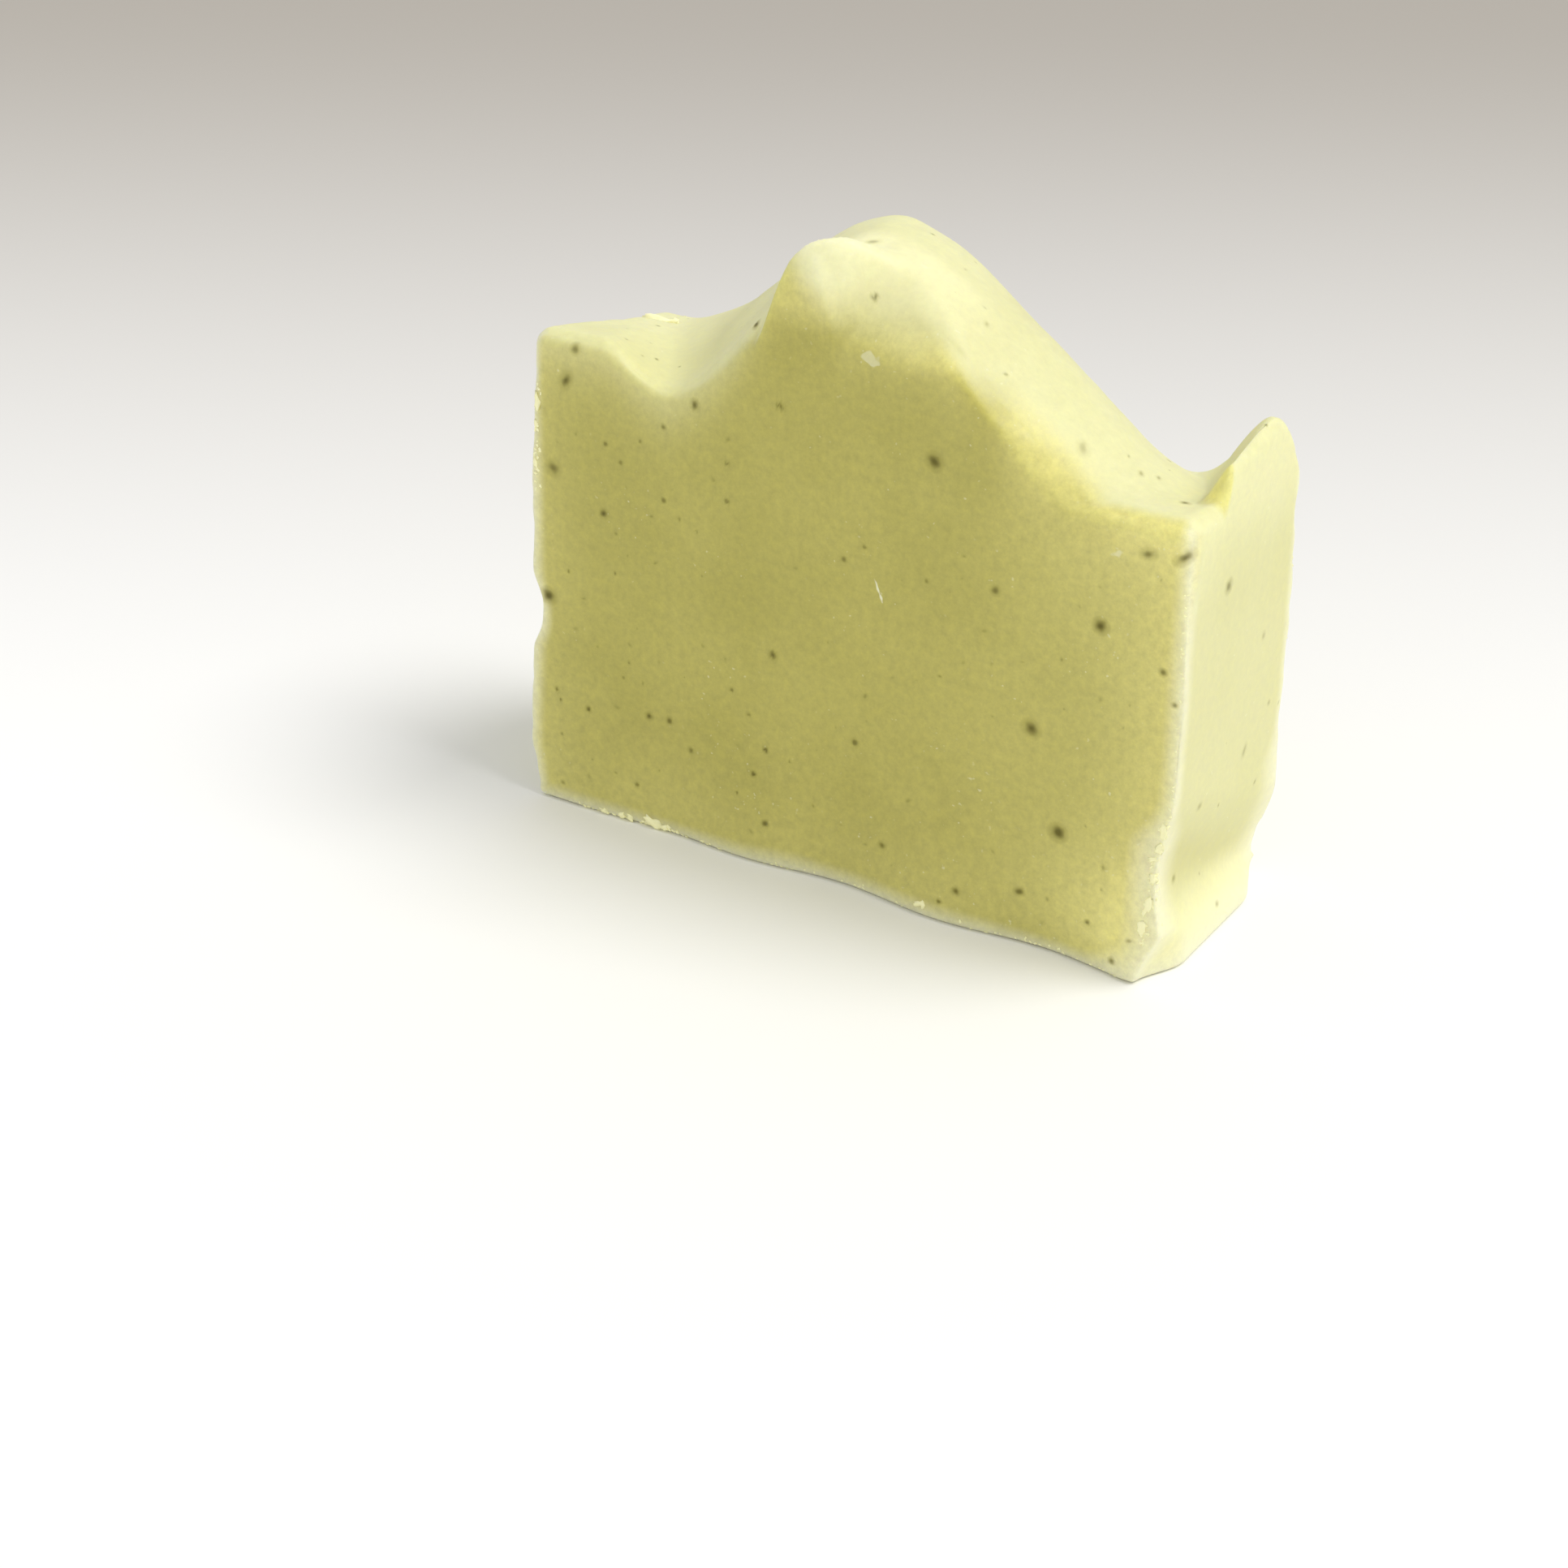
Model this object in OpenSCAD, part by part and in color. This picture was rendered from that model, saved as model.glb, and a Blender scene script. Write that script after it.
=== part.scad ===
// Hand-cut bar of soap, one slice of a poured loaf.
// The slice stands on the loaf's bottom. Its two broad faces are the cuts, its narrow
// sides took the shape of the mould's walls, and its top was textured by hand before
// it set: a tall crest, a scooped valley, and a thin lip that climbed the right wall.
// X runs along the width, Y through the thickness, from the front cut at -Y to the
// back cut at +Y, and Z goes up from the face that the bar stands on.

/* [Bar] */
// Width, from side wall to side wall
bar_w = 80; // [64:1:100]
// Thickness, from cut face to cut face
bar_t = 28.4; // [20:0.2:36]

/* [Sections of the top] */
// The top is lofted through four sections. Each list below gives a size at the front
// cut, at the ridge, behind the middle and at the back cut.
// Place of the ridge section, as a share of the thickness from the front
ridge_at = 0.29; // [0.24:0.01:0.36]
// Place of the section behind the middle, as a share of the thickness
middle_at = 0.62; // [0.55:0.01:0.7]

/* [Poured level] */
// Height that the loaf was filled to, at the left wall
level_left = [53, 52.6, 52, 50.6]; // [44:0.2:58]
// Height that the loaf was filled to, at the right wall
level_right = [52.1, 51.2, 48.8, 45.4]; // [40:0.2:58]
// Height that the swell at the left wall stands above the level
swell_h = [3.6, 2.2, 0.6, 0]; // [0:0.2:6]
// Distance of the swell's flat part from the left wall
swell_flat = [10, 7, 4, 1]; // [0:0.5:14]
// Distance over which the swell runs down into the valley
swell_run = [8.5, 8, 7, 6]; // [4:0.5:12]

/* [Crest] */
// Height of the crest above the face that the bar stands on
crest_h = [64.2, 69.6, 70.8, 66.6]; // [60:0.1:80]
// Where the crest's left slope starts, across the width from the middle
crest_left_foot = [-22, -26, -32, -36]; // [-40:0.5:-18]
// Where the crest's left slope reaches the top
crest_left_top = [-6, -3, -2.5, -6.5]; // [-12:0.5:0]
// Where the crest's right slope leaves the top
crest_right_top = [11, 1, -5, -9.5]; // [-12:0.5:14]
// Where the crest's right slope ends
crest_right_foot = [26.5, 35, 36.5, 31.5]; // [22:0.5:38]

/* [Knob] */
// Height of the knob at the front of the crest's left shoulder
knob_h = 72.4; // [66:0.1:80]
// Where the knob's spine starts on the front cut, across the width
knob_x = -5.2; // [-10:0.1:0]
// Angle at which the spine turns back from the cut and runs into the crest
knob_turn = 48; // [20:1:70]
// Length of the spine
knob_l = 14; // [6:0.5:20]
// Reach of the steep side, left of the spine
knob_left = 4.4; // [2.5:0.1:8]
// Reach of the side right of the spine
knob_right = 3.4; // [2.5:0.1:8]

/* [Lip] */
// Height of the lip's tip above the face that the bar stands on
lip_h = 57.4; // [54:0.1:66]
// Height of the lip's front end, where it leaves the top
lip_start_h = 52.2; // [46:0.1:58]
// How far the lip's back end drops below its tip
lip_drop = 8.5; // [2:0.1:14]
// Distance of the lip's front end from the front cut
lip_start = 7; // [3:0.1:10]
// Length over which the lip's front end rises
lip_rise = 2.6; // [1.5:0.1:6]
// Distance of the inner slope's foot from the right wall
lip_foot = [3.5, 4, 7, 15]; // [3.5:0.5:16]
// Thickness of the lip at its edge
lip_edge = [0.4, 0.4, 0.8, 3]; // [0.2:0.1:3]
// Radius of the lip's outer edge
lip_round = 0.8; // [0.4:0.1:1.6]

/* [Side walls] */
// Depth, at the front cut, of the crease that runs round the foot of the right wall
crease_front_d = 1.3; // [0:0.1:4]
// Depth of the crease at the back cut
crease_back_d = 2.3; // [0:0.1:4]
// Height of the crease at the front cut
crease_front_h = 13; // [8:0.5:20]
// Height of the crease at the back cut
crease_back_h = 3; // [3:0.5:12]
// Height over which the wall leans in above the crease
crease_run = 10; // [5:0.5:20]
// Depth of the dent in the left wall
dent_d = 1.2; // [0:0.1:3]
// Height of the middle of the dent
dent_h = 22.8; // [12:0.1:40]
// Half height of the dent
dent_r = 5; // [2:0.1:8]
// How much the left wall leans in between its foot and its top
wall_lean = 0.5; // [0:0.1:2]
// How far the four corners of the foot are rubbed in
foot_pinch = 2.6; // [0:0.1:3]

/* [Cut faces] */
// How far both cuts lie inside the foot above it
cut_bow = 1.2; // [0:0.1:2]
// Height of the waves that the cutter left along the foot of the front cut
cut_wave = 0.6; // [0:0.1:1]
// Length of one wave
wave_l = 25; // [15:1:40]
// Place of a wave's crest across the width
wave_x = 13.5; // [-20:0.5:20]

/* [Edges] */
// Radius of the upright edges round the cut faces
edge_r = 0.5; // [0.3:0.1:2.4]
// Radius of the soft edge round the top
roll_r = 2.4; // [1.2:0.1:4]
// Depth of the softer roll where the crest meets the front cut
brow_r = 6.5; // [2.4:0.1:7]
// Radius of the edge round the foot
foot_r = 0.9; // [0.4:0.1:2]

/* [Hidden] */
half_w = bar_w / 2;
half_t = bar_t / 2;
// Places of the four sections, front to back
sections = [for (share = [0, ridge_at, middle_at, 1]) bar_t * (share - 0.5)];
// Nominal height of the blank, before its top is lofted to shape
blank_h = 56;
// Where the poured level starts and ends its fall, across the width
fall_from = -15;
fall_to = 25;
// Heights between which the left wall leans in
lean_from = 10;
lean_to = 45;
// Rise of the lip's edge from its front end to its tip
lip_crown = 1.4;
// Distance over which a wall's shape fades into the bar
wall_fade = 7;
// Reach of the rubbed corners along the foot and up from it
pinch_l = 7;
pinch_h = 8;
// Share of a straight slope's run that is eased at each end
ramp_end = 0.25;
// Height over which the foot's waves and swell fade out
low_h = 20;
// Length over which the soft roll of the brow comes in and fades out along the cut
brow_run = 12;
// Columns over the top up to the foot of the lip, and up the lip's inner slope
top_steps = 46;
slope_steps = 8;
// Rings in the front part, where the knob and the lip's front end are, and behind it
front_l = 8;
front_steps = 6;
back_steps = 7;
// Steps round each soft edge
edge_steps = 4;

// Smooth step from 0 to 1 as v goes from a to b
function ease(v, a, b) = let (t = min(1, max(0, (v - a) / (b - a)))) t * t * (3 - 2 * t);

// Straight step from 0 to 1 as v goes from a to b, eased at both ends
function ramp(v, a, b) =
    let (
        t = min(1, max(0, (v - a) / (b - a))),
        whole = 2 * ramp_end * (1 - ramp_end)
    )
    t < ramp_end ? t * t / whole
    : t > 1 - ramp_end ? 1 - (1 - t) * (1 - t) / whole
    : (t - ramp_end / 2) / (1 - ramp_end);

// Blend of a and b by the share t
function mix(a, b, t) = a + (b - a) * t;

// Share of each section at depth y: the cubic through all four
function weights(y) = [
    for (i = [0 : 3])
        let (rest = [for (j = [0 : 3]) if (j != i) (y - sections[j]) / (sections[i] - sections[j])])
        rest[0] * rest[1] * rest[2]
];

// Height of the lip's edge at depth y
function lip_edge_h(y) =
    let (start = lip_start - half_t)
    lip_h
    - (lip_h - lip_crown - lip_start_h) * (1 - ease(y, start, start + lip_rise))
    - lip_crown * (1 - ease(y, start + lip_rise / 2, bar_t * 0.12))
    - lip_drop * ease(y, bar_t * 0.2, bar_t * 0.6);

// Height of the hand-textured top at x, y
function top_h(x, y) =
    let (
        w = weights(y),
        level = mix(level_left * w, level_right * w, ease(x, fall_from, fall_to)),
        flat = swell_flat * w - half_w,
        swell = swell_h * w * (1 - ease(x, flat, flat + swell_run * w)),
        rise = ease(x, crest_left_foot * w, crest_left_top * w),
        fall = 1 - ramp(x, crest_right_top * w, crest_right_foot * w),
        crest = level + swell + (crest_h * w - level) * rise * fall,
        along = (x - knob_x) * cos(knob_turn) + (y + half_t) * sin(knob_turn),
        aside = (y + half_t) * cos(knob_turn) - (x - knob_x) * sin(knob_turn),
        away = aside > 0 ? aside / knob_left : -aside / knob_right,
        spine = (1 - ease(along, knob_l * 0.3, knob_l)) * (1 - ease(away, 0.15, 1)),
        knob = mix(crest, knob_h, spine),
        inner = ease(x, half_w - lip_foot * w, half_w - lip_edge * w)
    )
    mix(knob, lip_edge_h(y), inner);

// How far the right wall is pushed in at y, z by the slanting crease
function crease(y, z) =
    let (
        share = y / bar_t + 0.5,
        h = mix(crease_front_h, crease_back_h, share),
        above = 1 - ease(z, h, h + crease_run),
        below = ease(z, h * 0.3, h)
    )
    mix(crease_front_d, crease_back_d, share) * above * below;

// How far the left wall is pushed in at y, z by the lean and by a dent that is deepest in front
function left_in(y, z) =
    dent_d * (0.75 - 0.5 * y / bar_t) * (1 - ease(abs(z - dent_h), dent_r * 0.2, dent_r))
    + wall_lean * ease(z, lean_from, lean_to);

// How far a corner of the foot is rubbed in at y, z
function pinch(y, z) =
    foot_pinch * ease(abs(y), half_t - pinch_l, half_t) * (1 - ease(z, 0, pinch_h));

// How far the front cut lies inside its foot at x, z: the waves grow from left to right
function front_in(x, z) =
    let (
        low = 1 - ease(z, 0, low_h),
        wave = cut_wave * (1 - cos(360 * (x - wave_x) / wave_l)) * ease(x, -half_w, 0)
    )
    cut_bow * (1 - low) + wave * low;

// How much deeper the soft edge is along the brow at x
function brow(x) =
    (brow_r - roll_r) * ease(x, knob_x, knob_x + brow_run)
    * (1 - ease(x, half_w - 2 * brow_run, half_w - brow_run / 2));

// A point of the blank, a box with round edges, carried to its place on the bar
function skin(x, y, z) =
    let (
        up = ease(z, blank_h * 0.7, blank_h - roll_r),
        lip_side = x > 0 ? up * ease(y, lip_start - half_t - lip_rise, lip_start - half_t + lip_rise) : 0,
        r = mix(edge_r, roll_r, up),
        rx = mix(r, lip_round, lip_side),
        ry = y < 0 ? r + brow(x) * up : r,
        low = max(0, 1 - z / foot_r),
        inset = foot_r * (1 - sqrt(1 - low * low)),
        core_w = half_w - rx - inset,
        core_t = half_t - ry - inset,
        cx = min(core_w, max(-core_w, x)),
        cy = min(core_t, max(-core_t, y)),
        cz = min(blank_h - roll_r, z),
        out = [(x - cx) / (rx + inset), (y - cy) / (ry + inset), (z - cz) / roll_r],
        n = norm(out) > 0 ? out / norm(out) : out,
        px = cx + rx * n[0],
        py = cy + ry * n[1],
        pz = (cz + roll_r * n[2]) * top_h(px, py) / blank_h,
        right = max(crease(py, pz), pinch(py, pz)) * ease(px, half_w - wall_fade, half_w),
        left = (left_in(py, pz) + pinch(py, pz) / 2) * ease(-px, half_w - wall_fade, half_w),
        cut = py < 0 ? front_in(px, pz) : -cut_bow * ease(pz, 0, low_h)
    )
    [px - right + left, py + cut * ease(abs(py), 0, half_t), pz];

// Place across the width of column i at depth y: the columns follow the foot of the lip
function column(i, y) =
    let (
        w = weights(y),
        foot_x = half_w - lip_foot * w,
        edge_x = half_w - max(lip_edge * w, lip_round),
        a = edge_steps,
        b = a + top_steps,
        c = b + slope_steps
    )
    i < a ? roll_r * i / edge_steps - half_w
    : i < b ? mix(roll_r - half_w, foot_x, (i - a) / top_steps)
    : i < c ? mix(foot_x, edge_x, (i - b) / slope_steps)
    : mix(edge_x, half_w, (i - c) / edge_steps);

// Places of the rings, from the front cut to the back cut
edge = [for (i = [0 : edge_steps - 1]) roll_r * i / edge_steps];
ys = concat(
    [for (e = edge) e - half_t],
    [for (i = [0 : front_steps - 1]) roll_r - half_t + front_l * i / front_steps],
    [for (i = [0 : back_steps]) mix(roll_r - half_t + front_l, half_t - roll_r, i / back_steps)],
    [for (i = [edge_steps - 1 : -1 : 0]) half_t - edge[i]]
);
// Heights of the rows on the walls and on the cut faces, on the blank
zs = concat(
    [0, 0.2, 0.55, 1] * foot_r,
    [0.05, 0.1, 0.145, 0.19, 0.235, 0.285, 0.34, 0.385, 0.43, 0.48, 0.55, 0.68, 0.84] * blank_h,
    [for (i = [3 : -1 : 0]) blank_h - roll_r * i / 3]
);
nx = 2 * edge_steps + top_steps + slope_steps;
ny = len(ys) - 1;
nz = len(zs) - 1;
// Points in one ring: up the left wall, over the top, down the right wall
ring = nx + 2 * nz + 1;

// Numbers of the first inner point of the two cut faces and of the foot
front_from = (ny + 1) * ring;
back_from = front_from + (nx - 1) * nz;
foot_from = back_from + (nx - 1) * nz;

// Number of the point at column i and row k of the cut face on ring j
function cut_at(j, i, k) =
    i == 0 ? j * ring + k
    : i == nx ? j * ring + ring - 1 - k
    : k == nz ? j * ring + nz + i
    : (j == 0 ? front_from : back_from) + (i - 1) * nz + k;

// Number of the point of the foot at column i and ring j
function foot_at(i, j) =
    j == 0 || j == ny ? cut_at(j, i, 0)
    : i == 0 ? j * ring
    : i == nx ? j * ring + ring - 1
    : foot_from + (i - 1) * (ny - 1) + j - 1;

// The foot's point at column i and ring j, for the edges of the foot
function rim(i, j) = skin(column(i, ys[j]), ys[j], 0);

// A point inside the foot: a patch spread between the foot's four edges
function foot_point(i, j) =
    let (
        u = i / nx,
        v = j / ny,
        front_edge = mix(rim(0, 0), rim(nx, 0), u),
        back_edge = mix(rim(0, ny), rim(nx, ny), u)
    )
    mix(rim(i, 0), rim(i, ny), v) + mix(rim(0, j), rim(nx, j), u) - mix(front_edge, back_edge, v);

// The bar: rings lofted from cut to cut, closed by a grid on each cut face and on the foot
module soap_bar() {
    points = concat(
        [
            for (y = ys, p = [0 : ring - 1])
                p < nz ? skin(-half_w, y, zs[p])
                : p <= nz + nx ? skin(column(p - nz, y), y, zs[nz])
                : skin(half_w, y, zs[ring - 1 - p])
        ],
        [for (y = [ys[0], ys[ny]], i = [1 : nx - 1], k = [0 : nz - 1]) skin(column(i, y), y, zs[k])],
        [for (i = [1 : nx - 1], j = [1 : ny - 1]) foot_point(i, j)]
    );
    shell = [
        for (j = [0 : ny - 1], p = [0 : ring - 2])
            [j * ring + p, (j + 1) * ring + p, (j + 1) * ring + p + 1, j * ring + p + 1]
    ];
    front = [
        for (i = [0 : nx - 1], k = [0 : nz - 1])
            [cut_at(0, i, k), cut_at(0, i, k + 1), cut_at(0, i + 1, k + 1), cut_at(0, i + 1, k)]
    ];
    back = [
        for (i = [0 : nx - 1], k = [0 : nz - 1])
            [cut_at(ny, i, k), cut_at(ny, i + 1, k), cut_at(ny, i + 1, k + 1), cut_at(ny, i, k + 1)]
    ];
    foot = [
        for (i = [0 : nx - 1], j = [0 : ny - 1])
            [foot_at(i, j), foot_at(i + 1, j), foot_at(i + 1, j + 1), foot_at(i, j + 1)]
    ];
    color("palegoldenrod") polyhedron(points, concat(shell, front, back, foot));
}

soap_bar();
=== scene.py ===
"""Dresses a hand-cut bar of soap on a pale table.

The bar is one poured piece: two broad cut faces, two moulded side walls and a top that was
textured by hand. Its surface is worked out in millimetres from the same sizes and formulas as
the solid, on a finer lattice, and then gets the fine relief of cut and poured soap: a lumpy
top, shallow drag on the cuts, pits, rubbed edges, crumbs and herb flecks.
"""
import logging
from dataclasses import dataclass, field
from enum import Enum

import bpy
import numpy as np
from mathutils import Matrix, Vector


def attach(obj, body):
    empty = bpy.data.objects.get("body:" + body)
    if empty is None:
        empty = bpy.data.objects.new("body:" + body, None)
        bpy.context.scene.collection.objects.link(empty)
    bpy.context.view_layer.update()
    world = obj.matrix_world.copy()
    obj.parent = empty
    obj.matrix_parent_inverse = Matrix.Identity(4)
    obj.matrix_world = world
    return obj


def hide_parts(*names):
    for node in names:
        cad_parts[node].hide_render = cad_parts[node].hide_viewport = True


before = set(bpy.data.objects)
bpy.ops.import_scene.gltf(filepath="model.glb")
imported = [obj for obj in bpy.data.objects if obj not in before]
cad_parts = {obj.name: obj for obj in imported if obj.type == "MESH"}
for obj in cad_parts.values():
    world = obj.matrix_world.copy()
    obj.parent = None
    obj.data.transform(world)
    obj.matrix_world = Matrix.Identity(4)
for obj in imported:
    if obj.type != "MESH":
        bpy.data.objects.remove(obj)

MM = 0.001
NODE = "soap_bar"
BODY = "root"
ATTRIBUTES = ("mark_way", "mark_tone", "cut", "rim", "glow", "shade", "thin")
RAMP_END = 0.25
BOX_SPARE = 0.01
TINY = 1e-9
log = logging.getLogger("soap")

Array = np.ndarray
Span = tuple[float, float]
Triple = tuple[float, float, float]
Sections = tuple[float, float, float, float]
Colour = tuple[float, float, float, float]
Piece = bpy.types.Object
Material = bpy.types.Material
Node = bpy.types.Node
Socket = bpy.types.NodeSocket


def ease(value: Array | float, start: Array | float, end: Array | float) -> Array:
    """Steps smoothly from 0 at start to 1 at end: 3t^2 - 2t^3 of the share t between them.

    Args:
        value: where the step is read.
        start: where the step begins.
        end: where the step is complete.

    Returns:
        The step's height, from 0 to 1, for each value.
    """
    share = np.clip((value - start) / (end - start), 0.0, 1.0)
    return share * share * (3.0 - 2.0 * share)


def fade(value: Array | float, start: Array | float, end: Array | float) -> Array:
    """Falls smoothly from 1 at start to 0 at end: 1 less the step of ease."""
    return 1.0 - ease(value, start, end)


def ramp(value: Array | float, start: Array | float, end: Array | float) -> Array:
    """Rises straight from 0 at start to 1 at end, with a parabola over a quarter at each end.

    Args:
        value: where the step is read.
        start: where the step begins.
        end: where the step is complete.

    Returns:
        The step's height, from 0 to 1, for each value.
    """
    share = np.clip((value - start) / (end - start), 0.0, 1.0)
    whole = 2.0 * RAMP_END * (1.0 - RAMP_END)
    straight = (share - RAMP_END / 2) / (1.0 - RAMP_END)
    high = np.where(share > 1.0 - RAMP_END, 1.0 - (1.0 - share) ** 2 / whole, straight)
    return np.where(share < RAMP_END, share * share / whole, high)


def mix(first: Array | float, second: Array | float, share: Array | float) -> Array:
    """Blends first into second by share: first + (second - first) * share."""
    return first + (second - first) * share


def unit(vectors: Array) -> Array:
    """Scales vectors to a length of 1: each one over its own length."""
    return vectors / np.maximum(np.linalg.norm(vectors, axis=-1, keepdims=True), TINY)


def boxed(points: Array, corner: Array) -> Array:
    """Keeps points between a box's high corner and its mirror in X and Y on the foot."""
    return np.clip(points, corner * (-1.0, -1.0, 0.0), corner)


@dataclass(frozen=True)
class BarSizes:
    """Sizes of the bar in millimetres.

    A tuple of four gives a size at the front cut, at the ridge, behind the middle and at the
    back cut, and the bar's top is lofted through these four sections. The fields from
    ridge_share on are shares of another size.
    """

    width: float = 80.0
    thickness: float = 28.4
    level_left: Sections = (53.0, 52.6, 52.0, 50.6)
    level_right: Sections = (52.1, 51.2, 48.8, 45.4)
    fall_from: float = -15.0
    fall_to: float = 25.0
    swell_height: Sections = (3.6, 2.2, 0.6, 0.0)
    swell_flat: Sections = (10.0, 7.0, 4.0, 1.0)
    swell_run: Sections = (8.5, 8.0, 7.0, 6.0)
    crest_height: Sections = (64.2, 69.6, 70.8, 66.6)
    crest_left_foot: Sections = (-22.0, -26.0, -32.0, -36.0)
    crest_left_top: Sections = (-6.0, -3.0, -2.5, -6.5)
    crest_right_top: Sections = (11.0, 1.0, -5.0, -9.5)
    crest_right_foot: Sections = (26.5, 35.0, 36.5, 31.5)
    knob_height: float = 72.4
    knob_x: float = -5.2
    knob_turn: float = 48.0
    knob_length: float = 14.0
    knob_left: float = 4.4
    knob_right: float = 3.4
    lip_height: float = 57.4
    lip_start_height: float = 52.2
    lip_drop: float = 8.5
    lip_start: float = 7.0
    lip_rise: float = 2.6
    lip_crown: float = 1.4
    lip_foot: Sections = (3.5, 4.0, 7.0, 15.0)
    lip_edge: Sections = (0.4, 0.4, 0.8, 3.0)
    lip_round: float = 0.8
    crease_front_depth: float = 1.3
    crease_back_depth: float = 2.3
    crease_front: float = 13.0
    crease_back: float = 3.0
    crease_run: float = 10.0
    dent_depth: float = 1.2
    dent_height: float = 22.8
    dent_reach: float = 5.0
    wall_lean: float = 0.5
    lean_from: float = 10.0
    lean_to: float = 45.0
    wall_fade: float = 7.0
    foot_pinch: float = 2.6
    pinch_length: float = 7.0
    pinch_height: float = 8.0
    cut_bow: float = 1.2
    cut_wave: float = 0.6
    wave_length: float = 25.0
    wave_x: float = 13.5
    low_height: float = 20.0
    edge_radius: float = 0.5
    roll_radius: float = 2.4
    brow_depth: float = 6.5
    brow_run: float = 12.0
    foot_radius: float = 0.9
    blank_height: float = 56.0
    ridge_share: float = 0.29
    middle_share: float = 0.62
    crown_end_share: float = 0.12
    drop_shares: Span = (0.2, 0.6)
    knob_core_share: float = 0.3
    knob_flat_share: float = 0.15
    crease_tuck_share: float = 0.3
    dent_core_share: float = 0.2
    dent_middle_share: float = 0.75
    dent_change_share: float = 0.5
    round_from_share: float = 0.7


@dataclass(frozen=True)
class Lattice:
    """Steps of the surface lattice in each strip of the bar."""

    edge_steps: int = 7
    top_steps: int = 130
    slope_steps: int = 26
    depth_steps: int = 52
    wall_steps: int = 112
    foot_shares: tuple[float, ...] = (0.0, 0.1, 0.3, 0.6)


@dataclass
class BarForm:
    """The bar's shape: a box with round edges, carried to its place by named formulas."""

    sizes: BarSizes = field(default_factory=BarSizes)

    def __post_init__(self) -> None:
        """Works out half the width, half the depth and the places of the four sections."""
        s = self.sizes
        self.half_width = s.width / 2
        self.half_depth = s.thickness / 2
        shares = (0.0, s.ridge_share, s.middle_share, 1.0)
        self.places = [s.thickness * (share - 0.5) for share in shares]

    def along(self, values: Sections, y: Array) -> Array:
        """Carries a size through the four sections on the cubic that meets them all.

        Args:
            values: the size at each section, front to back.
            y: depths in millimetres.

        Returns:
            The size at each depth: the sum of each value times its weight, a cubic that is 1
            at the value's own section and 0 at the others.
        """
        total = np.zeros_like(y, dtype=float)
        for index, value in enumerate(values):
            weight = np.ones_like(total)
            for other, place in enumerate(self.places):
                if other != index:
                    weight = weight * (y - place) / (self.places[index] - place)
            total = total + value * weight
        return total

    def lip_edge_height(self, y: Array) -> Array:
        """Gives the lip's edge: a quick rise at its front end, a crown, then a long drop.

        Args:
            y: depths in millimetres.

        Returns:
            The height of the edge: the lip's own, less what rise, crown and drop leave out.
        """
        s = self.sizes
        start = s.lip_start - self.half_depth
        drop_from, drop_to = s.drop_shares
        rise = fade(y, start, start + s.lip_rise)
        crown = fade(y, start + s.lip_rise / 2, s.thickness * s.crown_end_share)
        drop = ease(y, s.thickness * drop_from, s.thickness * drop_to)
        below = (s.lip_height - s.lip_crown - s.lip_start_height) * rise
        return s.lip_height - below - s.lip_crown * crown - s.lip_drop * drop

    def knob_share(self, x: Array, y: Array) -> Array:
        """Gives the knob's strength: full on its spine, fading to both sides and along it.

        Args:
            x: places across the width in millimetres.
            y: depths in millimetres.

        Returns:
            A share from 0, the plain crest, to 1, the knob's full height.
        """
        s = self.sizes
        turn = np.radians(s.knob_turn)
        right, back = x - s.knob_x, y + self.half_depth
        along = right * np.cos(turn) + back * np.sin(turn)
        aside = back * np.cos(turn) - right * np.sin(turn)
        away = np.where(aside > 0.0, aside / s.knob_left, -aside / s.knob_right)
        spine = fade(along, s.knob_length * s.knob_core_share, s.knob_length)
        return spine * fade(away, s.knob_flat_share, 1.0)

    def top_height(self, x: Array, y: Array) -> Array:
        """Gives the height of the hand-textured top.

        Level, swell, crest, knob and lip are laid over each other: the level falls to the
        right, the swell stands on it at the left wall, the crest blends up from both, the
        knob blends the crest to its own height, and the lip climbs the right wall.

        Args:
            x: places across the width in millimetres.
            y: depths in millimetres.

        Returns:
            Heights above the foot in millimetres.
        """
        s = self.sizes
        over = ease(x, s.fall_from, s.fall_to)
        level = mix(self.along(s.level_left, y), self.along(s.level_right, y), over)
        flat = self.along(s.swell_flat, y) - self.half_width
        swell = self.along(s.swell_height, y) * fade(x, flat, flat + self.along(s.swell_run, y))
        rise = ease(x, self.along(s.crest_left_foot, y), self.along(s.crest_left_top, y))
        fall = 1.0 - ramp(x, self.along(s.crest_right_top, y), self.along(s.crest_right_foot, y))
        crest = level + swell + (self.along(s.crest_height, y) - level) * rise * fall
        knob = mix(crest, s.knob_height, self.knob_share(x, y))
        slope_foot = self.half_width - self.along(s.lip_foot, y)
        slope_edge = self.half_width - self.along(s.lip_edge, y)
        return mix(knob, self.lip_edge_height(y), ease(x, slope_foot, slope_edge))

    def right_push(self, y: Array, z: Array) -> Array:
        """Gives how far the right wall lies in: a slanting crease, or the rubbed corners.

        Args:
            y: depths in millimetres.
            z: heights in millimetres.

        Returns:
            The larger of the two ways in. The crease is full up to its height and fades above.
        """
        s = self.sizes
        share = y / s.thickness + 0.5
        height = mix(s.crease_front, s.crease_back, share)
        above = fade(z, height, height + s.crease_run)
        depth = mix(s.crease_front_depth, s.crease_back_depth, share)
        crease = depth * above * ease(z, height * s.crease_tuck_share, height)
        return np.maximum(crease, self.pinch(y, z))

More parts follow.
